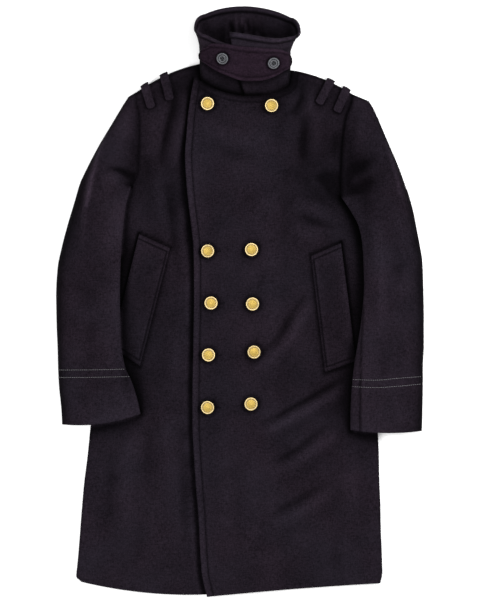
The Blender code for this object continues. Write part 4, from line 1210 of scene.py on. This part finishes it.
def welt_line(corners):
    """The sewn line of a welt: in from its ends and its inner side."""
    wide = np.linalg.norm(np.subtract(corners[1], corners[0]))
    long = np.linalg.norm(np.subtract(corners[3], corners[0]))
    a, d = 1.0 - WELT_STITCH / wide, WELT_END_STITCH / long
    across = np.concatenate([np.linspace(0.03, a, 20), np.full(60, a), np.linspace(a, 0.03, 20)])
    down = np.concatenate([np.full(20, d), np.linspace(d, 1.0 - d, 60), np.full(20, 1.0 - d)])
    return welt_plan(corners, across, down)


def welt(name, corners, top, finish):
    wide = np.linalg.norm(np.subtract(corners[1], corners[0]))
    long = np.linalg.norm(np.subtract(corners[3], corners[0]))
    close = np.array(WELT_CLOSE)
    across, down = close_ends(close / wide, WELT_COLUMNS), close_ends(close / long, WELT_ROWS)
    across, down = np.meshgrid(across, down)
    plan = welt_plan(corners, across, down)
    base = top(plan[..., 0], plan[..., 1]) + LAY
    side = 1 if corners[0][0] > 0 else -1
    clear = free_of_sleeve(plan[..., 0], plan[..., 1], INNER_LEFT if side > 0 else INNER_RIGHT, side)
    base = base + 2.4 * bell(across * wide, 12.0) * clear * np.sin(math.pi * down) ** 0.5
    ends = np.minimum(down, 1.0 - down) * long
    inner = (1.0 - across) * wide
    free = np.minimum(np.minimum(ends, inner), across * wide)
    turn = 1.2 * (1.0 - quarter(free / 1.2))
    sewn = np.minimum(np.abs(ends - WELT_END_STITCH), np.abs(inner - WELT_STITCH))
    groove = -1.5 * bell(sewn, 1.5) + 0.5 * bell(sewn, 5.0)
    sink = -0.6 * bell(np.minimum(ends, inner), 2.0)
    outside = np.dstack([plan, base + WELT_CLOTH - turn + groove + sink])
    inside = np.dstack([plan, base + turn * 0.8])
    inside[..., 2] = np.minimum(inside[..., 2], outside[..., 2] - THIN)
    return shell(name, outside, inside, finish)


def armhole(grid, dark):
    """The darker line of a sleeve's head seam, painted shade in the seam."""
    above = STEPS_SLEEVE <= ARMPIT_ROW
    return [(grid[above, -1, :2][::3], 3.4, dark)]


def welt_shadow_lines(corners):
    """Painted shadows just outside a welt: its top, its sewn side, its foot and its open side."""
    corners = np.array(corners, float)
    corners = corners + (corners - corners.mean(axis=0)) * WELT_OUTLINE
    sides = [[corners[i], corners[(i + 1) % 4]] for i in range(4)]
    return [(side, width, dark) for side, (width, dark) in zip(sides, WELT_SHADOW)]


def shoulder_loop(name, row, shoulder, top, finish):
    """A strap from its sewn end up the front and over the shoulder's edge, down beside it."""
    sewn, head = np.array(row[:2], float), np.array(row[2:], float)
    run = head - sewn
    length = np.linalg.norm(run)
    run = run / length
    across = np.array([-run[1], run[0]])
    inside, outside = [], []
    half = LOOP_WIDTH / 2.0
    for side in LOOP_SIDES:
        far = np.linspace(length * 0.5, length * 1.6, 500)
        line = (sewn + across * side * half)[None, :] + run[None, :] * far[:, None]
        edge = far[np.argmin(to_line(line[:, 0], line[:, 1], shoulder))]
        tip = LOOP_TIP_RUN * (1.0 - max(1.0 - abs(side) ** 3, 0.0) ** (1.0 / 3.0))
        even = np.linspace(tip + 3.0, edge - LOOP_TURN, 30)
        along = np.concatenate([tip + np.array([0.0, 0.4, 1.0, 1.8]), even])
        x = sewn[0] + run[0] * along + across[0] * side * half
        y = sewn[1] + run[1] * along + across[1] * side * half
        z = top(x, y) + LOOP_LAY
        over = z[-1] + LOOP_LAY
        bend = [(edge - 9.0, over + 0.3), (edge - 6.0, over + 0.4), (edge - 3.0, over + 0.1)]
        bend += [(edge, over - 0.6), (edge + LOOP_STAND * 0.8, over - 2.6)]
        bend += [(edge + LOOP_STAND, over - 5.5), (edge + LOOP_STAND, LOOP_FOOT)]
        bend = np.concatenate([[(along[-1], z[-1])], bend])
        turned_part = curve(np.arange(len(bend)), bend, np.linspace(0.0, len(bend) - 1.0, 40))[1:]
        profile = np.concatenate([np.stack([along, z], axis=1), turned_part])
        tangent = np.gradient(profile, axis=0)
        tangent[-1] = (0.0, -1.0)
        tangent = tangent / np.linalg.norm(tangent, axis=1, keepdims=True)
        out = np.stack([-tangent[:, 1], tangent[:, 0]], axis=1)
        free = np.minimum((1.0 - abs(side)) * half, np.arange(len(profile)) * 0.45)
        turn = 1.1 * (1.0 - quarter(free / 1.1))
        sewn_in = -0.5 * bell((1.0 - abs(side)) * half - 3.0, 1.0)
        crown = 0.5 * (1.0 - side * side)
        shell_line = profile + out * (LOOP_CLOTH - turn + sewn_in + crown)[:, None]
        under_line = profile + out * (turn * 0.85)[:, None]
        for points, store in ((under_line, inside), (shell_line, outside)):
            px = sewn[0] + run[0] * points[:, 0] + across[0] * side * half
            py = sewn[1] + run[1] * points[:, 0] + across[1] * side * half
            store.append(np.stack([px, py, points[:, 1]], axis=1))
    return shell(name, np.array(outside), np.array(inside), finish)


def axes_of(axis):
    axis = np.array(axis, float) / np.linalg.norm(axis)
    side = np.cross(axis, np.array([0.0, 1.0, 0.0]))
    side = side / np.linalg.norm(side)
    return axis, side, np.cross(axis, side)


def turned_faces(rings, segments):
    """The faces of a turned form: its first point, its rings and its last point."""
    faces = []
    for k in range(segments):
        n = (k + 1) % segments
        faces.append((0, 1 + n, 1 + k))
        for a in range(1, 1 + (rings - 1) * segments, segments):
            faces.append((a + k, a + n, a + segments + n, a + segments + k))
        a = 1 + (rings - 1) * segments
        faces.append((a + k, a + n, a + segments))
    return faces


def finish_by_radius(made, seat, axis, finishes, choose):
    """Gives a button's faces further finishes, by their distance from its axis."""
    for finish in finishes:
        made.data.materials.append(finish)
    for face in made.data.polygons:
        away = np.array(face.center) / MM - seat
        face.material_index = int(choose(np.linalg.norm(away - axis * away.dot(axis))))


def gold_button(name, seat, axis, finishes):
    """A shank button with a bead rim, a twisted ring and a plain low dome."""
    axis, side, other = axes_of(axis)
    seat = np.array(seat, float)
    turn = np.linspace(0.0, 2.0 * math.pi, GOLD_SEGMENTS, endpoint=False)
    arm = np.cos(turn)[:, None] * side + np.sin(turn)[:, None] * other
    points = [seat + axis * GOLD_PROFILE[0][1]]
    for radius, height in GOLD_PROFILE:
        points += list(seat + arm * radius + axis * height)
    points.append(seat + axis * GOLD_TOP)
    faces = turned_faces(len(GOLD_PROFILE), GOLD_SEGMENTS)
    around = ROPE_TURNS * ROPE_STEPS
    start = len(points)
    for k in range(around):
        theta = 2.0 * math.pi * k / around
        arm_k = side * math.cos(theta) + other * math.sin(theta)
        for r in range(ROPE_SIDES):
            phi = 2.0 * math.pi * r / ROPE_SIDES
            thick = ROPE_THICK * (0.82 + 0.26 * math.cos(ROPE_TURNS * theta + 2.0 * phi))
            reach = ROPE_RADIUS + thick * math.cos(phi)
            points.append(seat + arm_k * reach + axis * (ROPE_HEIGHT + thick * math.sin(phi)))
    for k in range(around):
        a, b = start + k * ROPE_SIDES, start + (k + 1) % around * ROPE_SIDES
        for r in range(ROPE_SIDES):
            q = (r + 1) % ROPE_SIDES
            faces.append((a + r, b + r, b + q, a + q))
    made = mesh_object(name, np.array(points), faces, finishes[0])

    # Field, then the rim, polished and painted paler as a highlight, then the outer side, painted dark as
    # shade.
    def which(reach):
        return int(reach > RIM_FROM) + int(reach > RIM_TO)

    finish_by_radius(made, seat, axis, finishes[1:], which)
    return made


def tab_button(name, seat, axis, finish, shade_finish):
    """A dark button with a raised rim, a sunk middle and four holes, and where its thread crosses."""
    axis, side, other = axes_of(axis)
    seat = np.array(seat, float)
    table = np.array(DARK_PROFILE, float)
    fine = table[:DARK_TOP_ROWS]
    inner = np.linspace(0.0, fine[-1, 0], DARK_TOP_STEPS)
    top = curve(fine[:, 0], fine[:, 1:], inner)
    profile = np.concatenate([np.column_stack([inner, top])[1:], table[DARK_TOP_ROWS - 1 : -1]])
    turn = np.linspace(0.0, 2.0 * math.pi, DARK_SEGMENTS, endpoint=False)
    holes = [(DARK_HOLES * math.cos(t), DARK_HOLES * math.sin(t)) for t in DARK_HOLE_TURNS]
    points = [seat + axis * profile[0][1]]
    for radius, height in profile:
        px, py = radius * np.cos(turn), radius * np.sin(turn)
        well = np.zeros(DARK_SEGMENTS)
        for hx, hy in holes:
            away = np.hypot(px - hx, py - hy)
            well += smooth(-away, -DARK_HOLE_RADIUS - 0.25, -DARK_HOLE_RADIUS + 0.15)
        lift = height - DARK_HOLE_DEPTH * well
        points += list(seat + px[:, None] * side + py[:, None] * other + lift[:, None] * axis)
    points.append(seat + axis * profile[-1][1])
    faces = [face[::-1] for face in turned_faces(len(profile), DARK_SEGMENTS)]
    made = mesh_object(name, np.array(points), faces, finish)

    # The sunk middle and the groove take the darker finish, painted shade.
    def sunk(reach):
        return reach < DARK_MIDDLE or DARK_GROOVE_FROM < reach < DARK_GROOVE_TO

    finish_by_radius(made, seat, axis, [shade_finish], sunk)
    ends = [seat + side * hx + other * hy + axis * DARK_THREAD for hx, hy in holes]
    return made, [(ends[0], ends[2], axis), (ends[1], ends[3], axis)]


def stitch_points(line, height_of, length, gap):
    """Even stitches along a plan line: the start, the end and the upward direction of each."""
    line = np.asarray(line, float)
    long = np.concatenate([[0.0], np.cumsum(np.linalg.norm(np.diff(line, axis=0), axis=1))])
    starts = np.arange(0.5, long[-1] - length, length + gap)
    ends = []
    for at in (starts, starts + length):
        x, y = np.interp(at, long, line[:, 0]), np.interp(at, long, line[:, 1])
        ends.append(np.stack([x, y, height_of(x, y)], axis=1))
    up = np.array([0.0, 0.0, 1.0])
    return [(a, b, up) for a, b in zip(*ends)]


def stitches(name, found, width, height, finish):
    """Stitches as one mesh of small rounded bars."""
    rings = ((0.0, 0.35), (0.12, 0.75), (0.35, 1.0), (0.65, 1.0), (0.88, 0.75), (1.0, 0.35))
    sides = 6
    points, faces = [], []
    for a, b, up in found:
        run = b - a
        size = np.linalg.norm(run)
        if size < 1e-6:
            continue
        run = run / size
        across = np.cross(up, run)
        across = across / max(np.linalg.norm(across), 1e-9)
        rise = np.cross(run, across)
        start = len(points)
        for share, fat in rings:
            arch = 4.0 * share * (1.0 - share)
            centre = a + (b - a) * share + rise * (height * (0.1 + 0.9 * arch) - height * 0.35)
            for k in range(sides):
                turn = 2.0 * math.pi * (k + 0.5) / sides
                arm = across * (width * 0.5 * fat * math.cos(turn)) + rise * (height * fat * math.sin(turn))
                points.append(centre + arm)
        for r in range(len(rings) - 1):
            for k in range(sides):
                n = (k + 1) % sides
                p = start + r * sides
                faces.append((p + k, p + n, p + sides + n, p + sides + k))
        faces.append(tuple(start + k for k in range(sides - 1, -1, -1)))
        faces.append(tuple(start + (len(rings) - 1) * sides + k for k in range(sides)))
    return mesh_object(name, np.array(points), faces, finish)


def grid_height(grid):
    """The height of a sleeve's surface at plan points, read from its own grid."""

    def at(x, y):
        found = np.zeros(len(x))
        flat = grid.reshape(-1, 3)
        for i, (px, py) in enumerate(zip(x, y)):
            away = (flat[:, 0] - px) ** 2 + (flat[:, 1] - py) ** 2
            near = np.argpartition(away, 6)[:6]
            weight = 1.0 / (away[near] + 0.05)
            found[i] = (flat[near, 2] * weight).sum() / weight.sum()
        return found

    return at


def blurred(field, reach):
    """A field of heights, blurred by this many millimetres."""
    across = np.fft.fftfreq(field.shape[0], CELL)[:, None]
    along = np.fft.rfftfreq(field.shape[1], CELL)[None, :]
    passed = np.exp(-2.0 * (math.pi * reach) ** 2 * (across**2 + along**2))
    return np.fft.irfft2(np.fft.rfft2(field) * passed, field.shape)


def points_of(made):
    points = np.zeros(len(made.data.vertices) * 3)
    made.data.vertices.foreach_get("co", points)
    return points.reshape(-1, 3) / MM


def painted_shading_map(pieces):
    """Painted light and shade of the cloth, seen from above: over 1 on ridges as a painted highlight, under
    1 in hollows as painted shade, with the painted patches added.
    """
    half = np.array([FIELD_X, FIELD_Y])
    field = np.zeros(np.round(2.0 * half / CELL).astype(int))
    weights = [(i / 4.0, j / 4.0, 1.0 - (i + j) / 4.0) for i in range(5) for j in range(5 - i)]
    for made in pieces:
        made.data.calc_loop_triangles()
        corners = np.zeros(len(made.data.loop_triangles) * 3, np.int32)
        made.data.loop_triangles.foreach_get("vertices", corners)
        triangles = points_of(made)[corners.reshape(-1, 3)]
        for a, b, c in weights:
            spot = triangles[:, 0] * a + triangles[:, 1] * b + triangles[:, 2] * c
            cell = np.floor((spot[:, :2] + half) / CELL).astype(int)
            np.maximum.at(field, (cell[:, 0], cell[:, 1]), spot[:, 2])
    cloth = (field > 0.0).astype(float)
    painted_shading = np.ones(field.shape)
    for reach, hollow, ridge in PAINTED_SHADING_STEPS:
        around = blurred(field * cloth, reach) / np.maximum(blurred(cloth, reach), 0.02)
        rise = (field - around) * cloth
        painted_shading += np.where(rise > 0.0, ridge, hollow) * rise
    x = (np.arange(field.shape[0])[:, None] + 0.5) * CELL - FIELD_X
    y = (np.arange(field.shape[1])[None, :] + 0.5) * CELL - FIELD_Y
    painted_shading += mounds(x, y, PAINTED_SHADING_PATCHES)
    return blurred(np.clip(painted_shading, PAINTED_SHADING_LEAST, PAINTED_SHADING_MOST), CELL)


def set_painted_shading(made, painted_shading, sewn=(), mild=1.0):
    """Gives each point of a cloth piece its painted light and shade, with darker lines along seams and
    painted shadows, or an even one with no map.
    """
    points = points_of(made)
    values = np.ones(len(points))
    if painted_shading is not None:
        at = (points[:, :2] + np.array([FIELD_X, FIELD_Y])) / CELL - 0.5
        low = np.floor(at).astype(int)
        part = at - low
        for i, j in ((0, 0), (0, 1), (1, 0), (1, 1)):
            weight = np.abs(1 - i - part[:, 0]) * np.abs(1 - j - part[:, 1])
            values += mild * (painted_shading[low[:, 0] + i, low[:, 1] + j] - 1.0) * weight
    for line, width, dark in sewn:
        line = np.asarray(line, float)
        low, high = line.min(axis=0) - 3.0 * width, line.max(axis=0) + 3.0 * width
        close = ((points[:, :2] > low) & (points[:, :2] < high)).all(axis=1)
        away = to_line(points[close, 0], points[close, 1], line)
        values[close] *= 1.0 - dark * bell(away, width)
    layer = made.data.attributes.new("painted_shading", "FLOAT", "POINT")
    layer.data.foreach_set("value", values.astype(np.float32))


def node_at(tree, kind, **values):
    made = tree.nodes.new(kind)
    for key, value in values.items():
        setattr(made, key, value)
    return made


def new_finish(name):
    """A finish, its node tree, its shader and the place that its textures follow."""
    made = bpy.data.materials.new(name)
    made.use_nodes = True
    tree = made.node_tree
    spot = node_at(tree, "ShaderNodeTexCoord").outputs["Object"]
    return made, tree, tree.nodes["Principled BSDF"], spot


def set_inputs(node, values):
    for key, value in values.items():
        node.inputs[key].default_value = value


def noise_at(tree, spot, scale, detail, rough=0.5):
    made = node_at(tree, "ShaderNodeTexNoise")
    set_inputs(made, {"Scale": scale, "Detail": detail, "Roughness": rough})
    tree.links.new(spot, made.inputs["Vector"])
    return made.outputs["Fac"]


def stretched(tree, spot, stretch, turn):
    made = node_at(tree, "ShaderNodeMapping")
    set_inputs(made, {"Scale": stretch, "Rotation": (0.0, 0.0, turn)})
    tree.links.new(spot, made.inputs["Vector"])
    return made.outputs["Vector"]


def multiply_add(tree, value, share, more):
    """A value times a share, plus another value or a number."""
    made = node_at(tree, "ShaderNodeMath", operation="MULTIPLY_ADD")
    made.inputs[1].default_value = share
    tree.links.new(value, made.inputs[0])
    if isinstance(more, float):
        made.inputs[2].default_value = more
    else:
        tree.links.new(more, made.inputs[2])
    return made.outputs[0]


def ramp_of(tree, value, low, high, dark, light):
    made = node_at(tree, "ShaderNodeValToRGB")
    first, last = made.color_ramp.elements
    first.position, last.position = low, high
    first.color, last.color = (*dark, 1.0), (*light, 1.0)
    tree.links.new(value, made.inputs["Fac"])
    return made.outputs["Color"]


def roughen(tree, shader, height, strength, distance):
    made = node_at(tree, "ShaderNodeBump")
    set_inputs(made, {"Strength": strength, "Distance": distance})
    tree.links.new(height, made.inputs["Height"])
    tree.links.new(made.outputs["Normal"], shader.inputs["Normal"])


def wool(name, colour, warm):
    """Dense brushed wool: a coarse grain, fine nap, uneven tone and a slight sheen."""
    made, tree, shader, spot = new_finish(name)
    link = tree.links.new
    fibre = noise_at(tree, spot, 900.0, 4.0, 0.7)
    grain = noise_at(tree, spot, 310.0, 3.0, 0.6)
    down = noise_at(tree, stretched(tree, spot, (420.0, 120.0, 300.0), 0.1), 1.0, 2.0)
    over = noise_at(tree, stretched(tree, spot, (110.0, 400.0, 300.0), 0.1), 1.0, 2.0)
    nap = 0.0
    for value, share in ((over, 0.22), (down, 0.22), (grain, 0.36), (fibre, 0.2)):
        nap = multiply_add(tree, value, share, nap)
    broad = noise_at(tree, spot, 11.0, 4.0, 0.55)
    tone = multiply_add(tree, broad, 0.2, multiply_add(tree, nap, 1.0, -0.02))
    cool = ramp_of(tree, tone, *WOOL_TONE, [c * 0.5 for c in colour], [c * 1.52 for c in colour])
    ruddy = ramp_of(tree, tone, *WOOL_TONE, [c * 0.4 for c in warm], [c * 1.6 for c in warm])
    split = node_at(tree, "ShaderNodeMapRange")
    set_inputs(split, {"From Min": 0.38, "From Max": 0.62})
    link(noise_at(tree, spot, 7.0, 3.0, 0.6), split.inputs["Value"])
    blend = node_at(tree, "ShaderNodeMix", data_type="RGBA")
    link(split.outputs["Result"], blend.inputs["Factor"])
    link(cool, blend.inputs["A"])
    link(ruddy, blend.inputs["B"])
    # The base colour is scaled by each point's painted light and shade.
    painted_shading_node = node_at(tree, "ShaderNodeAttribute", attribute_name="painted_shading")
    shaded_colour = node_at(tree, "ShaderNodeVectorMath", operation="SCALE")
    link(blend.outputs["Result"], shaded_colour.inputs[0])
    link(painted_shading_node.outputs["Fac"], shaded_colour.inputs["Scale"])
    link(shaded_colour.outputs["Vector"], shader.inputs["Base Color"])
    link(multiply_add(tree, nap, 0.18, 0.8), shader.inputs["Roughness"])
    roughen(tree, shader, nap, 0.6, 0.0012)
    sheen = {"Sheen Weight": 0.018, "Sheen Roughness": 0.45, "Sheen Tint": (0.62, 0.56, 0.66, 1.0)}
    set_inputs(shader, {"Specular IOR Level": 0.045, **sheen})
    return made


def plain(name, colour, rough, metal, spread, scale, bumpy, shine):
    """A hard or thread finish with an uneven tone and a slight grain."""
    made, tree, shader, spot = new_finish(name)
    grain = noise_at(tree, spot, scale, 4.0)
    dark = [c * (1.0 - spread) for c in colour]
    light = [min(1.0, c * (1.0 + spread)) for c in colour]
    tree.links.new(ramp_of(tree, grain, 0.3, 0.7, dark, light), shader.inputs["Base Color"])
    tree.links.new(multiply_add(tree, grain, 0.16, rough - 0.08), shader.inputs["Roughness"])
    set_inputs(shader, {"Metallic": metal, "Specular IOR Level": shine})
    roughen(tree, shader, grain, bumpy, 0.0003)
    return made


def stand_for(made, node):
    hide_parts(node)
    return made


def button_seat(x, y):
    """Where a front button sits, and the way it faces, from the cloth round it."""
    turn = np.linspace(0.0, 2.0 * math.pi, 24, endpoint=False)
    c, s = np.cos(turn), np.sin(turn)
    z = left_top(x + BUTTON_REACH * c, y + BUTTON_REACH * s)
    slope_x = (z * c).sum() / (BUTTON_REACH * (c**2).sum())
    slope_y = (z * s).sum() / (BUTTON_REACH * (s**2).sum())
    middle = float(left_top(np.array([float(x)]), np.array([float(y)]))[0])
    height = max(middle, float(z.mean()) - BUTTON_SINK)
    return (x, y, height + BUTTON_LAY), (-slope_x, -slope_y, 1.0)


def make_buttons(finish):
    """All the buttons, and where the tab's buttons sit."""
    gold = [finish[name] for name in ("gold_matt", "gold_polished_and_painted_pale", "gold_shaded_side")]
    buttons, crossings, seats = [], [], []
    for i, (x, y) in enumerate(GOLD_BUTTONS):
        name = "gold_button_%02d" % (i + 1)
        made = gold_button("button_" + name, *button_seat(x, y), gold)
        buttons.append(stand_for(made, name))
    for node, (angle, height) in zip(("tab_button_right", "tab_button_left"), TAB_BUTTONS):
        away = float(tab_away(angle)) + TAB_CLOTH + BUTTON_LAY
        seat, normal = collar_out(np.array(angle), np.array(height), away)
        made, found = tab_button("button_" + node, seat, normal, finish["horn_dark"], finish["horn_painted_shade"])
        buttons.append(stand_for(made, node))
        crossings += found
        seats.append(seat)
    stitches("thread_tab_buttons", crossings, *TAB_THREAD, finish["thread_tab"])
    return buttons, seats


def sew(grids, finish):
    """The stitches that show: buttonhole tacks, the front edge, the welts and the cuffs."""
    dark = finish["thread_dark"]
    found = []
    for x, y in GOLD_BUTTONS[2::2]:
        for reach in np.arange(HOLE_REACH - HOLE_TACK, HOLE_REACH, HOLE_STEP):
            bar = np.array([[x + reach, y - 2.2], [x + reach, y + 1.2]])
            found += stitch_points(bar, left_top, *STITCH_TACK[:2])
    stitches("thread_buttonholes", found, *STITCH_TACK[2:], dark)
    found = stitch_points(STITCH_EDGE, left_top, *STITCH_DARK[:2])
    found += stitch_points(STITCH_NECK, left_top, *STITCH_DARK[:2])
    stitches("thread_front_edge", found, *STITCH_DARK[2:], dark)
    for node, corners, top in (("right", WELT_RIGHT, right_top), ("left", WELT_LEFT, left_top)):

        def on_welt(x, y, top=top):
            return top(x, y) + LAY + WELT_CLOTH - 0.8

        found = stitch_points(welt_line(corners), on_welt, *STITCH_DARK[:2])
        stitches("thread_welt_" + node, found, *STITCH_DARK[2:], dark)
    for name, lines in (("sleeve_right", CUFF_RIGHT), ("sleeve_left", CUFF_LEFT)):
        height_of = grid_height(grids[name][CUFF_FROM_ROW:])
        found = []
        for line in lines:
            found += stitch_points(line_through(line, 40), height_of, *STITCH_CUFF[:2])
        stitches("thread_cuff_" + name, found, *STITCH_CUFF[2:], finish["thread_pale"])


def loop_shadow(x0, y0, x1, y1):
    """A line round the foot of a shoulder loop."""
    along = np.array([x1 - x0, y1 - y0]) / math.hypot(x1 - x0, y1 - y0)
    across = np.array([-along[1], along[0]]) * (LOOP_WIDTH / 2.0 + 1.0)
    foot = np.array([x0, y0]) - along * 1.0
    shadow = [np.array([x1, y1]) + across, foot + across + along * 4.0, foot + across * 0.5]
    return shadow + [foot - across * 0.5, foot - across + along * 4.0, foot - across + along * 18.0]


def seam_and_painted_shade_lines(grids, collar_seam_and_shade_lines, tab_sewn, tab_seats):
    """Lines along which each piece is painted darker, or lighter where negative: line, width, depth. Seams,
    stitches and buttonholes are darker lines. The others are painted shadows beside the front edge and the
    sleeves, round the welts, buttons and loops, under the tab and at the neck, and painted shade in the
    head seams. The negative ones are painted highlights on folds and edges.
    """
    turn = np.linspace(0.0, 2.0 * math.pi, 25)
    circle = np.stack([np.cos(turn), np.sin(turn)], axis=1)
    edge_y = EDGE_LEFT[:, 1]
    # Painted shadows round the welt, beside the front edge, at the neck and beside the sleeve, and painted
    # shade in the head seam. A band left of the front edge's lower part is painted lighter, as painted
    # light.
    on_right = [
        *welt_shadow_lines(WELT_RIGHT),
        (offset_line(EDGE_LEFT[edge_y > -120.0][::2], -1.5), 3.6, 0.93),
        (offset_line(EDGE_LEFT[edge_y < -110.0][::2], -1.5), 3.0, 0.7),
        (NECK_RIGHT[::2], 6.0, 0.6),
        (INNER_RIGHT[INNER_RIGHT[:, 1] < 96.0], 5.5, 0.92),
        *armhole(grids["sleeve_right"], 0.3),
        (offset_line(EDGE_LEFT[edge_y < 110.0][::2], -11.0), 5.0, -0.45),
    ]
    # Painted shadows round the welt and the buttons, at the neck and beside the sleeve, and painted shade
    # in the head seam. The stitched lines and buttonholes are darker lines.
    on_left = [*welt_shadow_lines(WELT_LEFT), (STITCH_EDGE[::2], 1.7, 0.5), (STITCH_NECK, 1.7, 0.4)]
    on_left += [(np.array(button) + circle * GOLD_SHADOW_RING, 3.4, 0.5) for button in GOLD_BUTTONS]
    on_left += [(NECK_LEFT[::2], 4.0, 0.6), (INNER_LEFT, 5.5, 0.92)]
    on_left += [(INNER_LEFT[INNER_LEFT[:, 1] > 110.0], 9.0, 0.9), *armhole(grids["sleeve_left"], 0.6)]
    for x, y in GOLD_BUTTONS[2::2]:
        on_left.append(([(x + HOLE_FROM, y), (x + HOLE_REACH, y - 0.6)], 1.8, 0.35))
    for loop in SHOULDER_LOOPS:
        (on_right if loop[0] < 0 else on_left).append((loop_shadow(*loop), 2.6, 0.6))
    # Painted shadow under the throat tab's lower edge and at the neck.
    angle, height = tab_plan(np.linspace(0.0, 1.0, 60), np.full(60, -0.03))
    on_neck = [*collar_seam_and_shade_lines, (collar_point(angle, height)[:, :2], 5.5, 0.7)]
    on_neck += [(NECK_LEFT[::2], 6.5, 0.75), (NECK_RIGHT[::2], 6.5, 0.75)]
    # The tab's stitched line, painted highlights along its long edges, and painted shadows round its
    # buttons.
    on_tab = [(tab_sewn, 2.2, 0.42)]
    for across in (0.06, 0.94):
        angle, height = tab_plan(np.linspace(0.03, 0.97, 60), np.full(60, across))
        on_tab.append((collar_out(angle, height, tab_away(angle))[0][:, :2], 3.6, -0.2))
    on_tab += [(seat[:2] + circle * TAB_SHADOW_RING, 2.8, 0.75) for seat in tab_seats]
    seam_and_highlight_left = [(SLEEVE_SEAM, 2.2, 0.6), (SLEEVE_HIGHLIGHT_LEFT, 4.0, -0.9)]
    return {
        "cloth_front_right": on_right,
        "cloth_front_left": on_left,
        "cloth_collar": on_neck,
        "cloth_throat_tab": on_tab,
        "cloth_welt_right": [(welt_line(WELT_RIGHT), 1.7, 0.72)],
        "cloth_welt_left": [(welt_line(WELT_LEFT), 1.7, 0.72)],
        "cloth_sleeve_left_top": seam_and_highlight_left + armhole(grids["sleeve_left"], 0.55),
        "cloth_sleeve_right_top": [(SLEEVE_HIGHLIGHT_RIGHT, 4.0, -0.9), *armhole(grids["sleeve_right"], 0.25)],
    }


def dress():
    cloth, cloth_back = wool("wool_melton", *WOOL), wool("wool_melton_back", *WOOL)
    cloth_tab = wool("wool_melton_tab", *WOOL_TAB)
    finish = {name: plain(name, *values) for name, values in FINISHES.items()}

    back = stand_for(back_panel("cloth_back", cloth_back), "back")
    edges = [ROWS_RIGHT[::2, 2:4], HEM_RIGHT]
    right = front_panel("cloth_front_right", ROWS_RIGHT, STEPS_RIGHT, right_top, edges, cloth)
    stand_for(right, "front_right")
    edges = [EDGE_LEFT, NECK_LEFT, HEM_LEFT]
    left = front_panel("cloth_front_left", ROWS_LEFT, STEPS_LEFT, left_top, edges, cloth)
    stand_for(left, "front_left")
    uppers, lowers, grids = [], [], {}
    for side, name, table, line, creases, seed in (
        (-1, "sleeve_right", SLEEVE_RIGHT, SIDE_RIGHT, CREASES_SLEEVE_RIGHT, 21),
        (1, "sleeve_left", SLEEVE_LEFT, SIDE_LEFT, CREASES_SLEEVE_LEFT, 23),
    ):
        made = sleeve_pair("cloth_" + name, table, line, side, creases, seed, cloth, cloth_back)
        uppers.append(stand_for(made[0], name + "_top"))
        lowers.append(stand_for(made[1], name + "_under"))
        grids[name] = made[2]
    neck, collar_seam_and_shade_lines = collar("cloth_collar", cloth)
    stand_for(neck, "collar")
    tab, tab_sewn = throat_tab("cloth_throat_tab", cloth_tab)
    stand_for(tab, "throat_tab")
    shown = [right, left, neck, tab]
    for node, corners, top in (("right", WELT_RIGHT, right_top), ("left", WELT_LEFT, left_top)):
        made = welt("cloth_welt_" + node, corners, top, cloth)
        shown.append(stand_for(made, "pocket_welt_" + node))
    for i, row in enumerate(SHOULDER_LOOPS):
        line, top = (FOLDED[0], right_top) if row[0] < 0 else (FOLDED[2], left_top)
        name = "shoulder_loop_%d" % (i + 1)
        made = shoulder_loop("cloth_" + name, row, line[:SHOULDER_POINTS], top, cloth)
        shown.append(stand_for(made, name))
    shown += uppers
    buttons, tab_seats = make_buttons(finish)
    sew(grids, finish)

    painted_shading = painted_shading_map(shown + buttons)
    # Seam lines, and lines of painted light and shade, for each piece.
    sewn = seam_and_painted_shade_lines(grids, collar_seam_and_shade_lines, tab_sewn, tab_seats)
    for made in shown:
        set_painted_shading(made, painted_shading, sewn.get(made.name, ()), COLLAR_PAINTED_SHADING if made is neck else 1.0)
    # Painted shade along the sleeves' head seams on the back and the under sleeves, where they show through
    # the seams.
    beneath = [line for grid in grids.values() for line in armhole(grid, 0.8)]
    for made in [back] + lowers:
        set_painted_shading(made, None, beneath)


def studio():
    scene = bpy.context.scene
    mesh = bpy.data.meshes.new("floor")
    corners = [(x, y, 0.0) for y in FLOOR_Y for x in FLOOR_X]
    mesh.from_pydata(corners, [], [(i, i + 1, i + 5, i + 4) for i in FLOOR_FACES])
    for name, glow in (("floor_pale", FLOOR_GLOW), ("floor_covered", 0.0)):
        paint = bpy.data.materials.new(name)
        paint.use_nodes = True
        tone = {"Base Color": (FLOOR_TONE, FLOOR_TONE, FLOOR_TONE, 1.0), "Roughness": 0.8}
        light = {"Emission Color": (1.0, 1.0, 1.0, 1.0), "Emission Strength": glow}
        set_inputs(paint.node_tree.nodes["Principled BSDF"], {**tone, **light})
        mesh.materials.append(paint)
    mesh.polygons[FLOOR_COVERED].material_index = 1
    floor = bpy.data.objects.new("floor", mesh)
    scene.collection.objects.link(floor)

    world = bpy.data.worlds.new("studio")
    world.use_nodes = True
    sky = {"Color": (1.0, 1.0, 1.0, 1.0), "Strength": WORLD_STRENGTH}
    set_inputs(world.node_tree.nodes["Background"], sky)
    scene.world = world
    for name, place, size, power, reflected in LIGHTS:
        light = bpy.data.lights.new(name, "AREA")
        light.shape = "DISK"
        light.size = size
        light.energy = power
        lamp = bpy.data.objects.new(name, light)
        lamp.location = place
        lamp.visible_glossy = reflected
        tilt = math.acos(place[2] / np.linalg.norm(place))
        lamp.rotation_euler = (tilt, 0.0, math.atan2(place[0], -place[1]))
        scene.collection.objects.link(lamp)

    camera = bpy.data.cameras.new("camera")
    camera.sensor_width = 36.0
    camera.lens = CAMERA_LENS
    camera.clip_end = 50.0
    eye = bpy.data.objects.new("camera", camera)
    eye.location = CAMERA_AT
    scene.collection.objects.link(eye)
    scene.camera = eye
    scene.view_settings.view_transform = "Standard"
    scene.view_settings.look = "None"


studio()
dress()
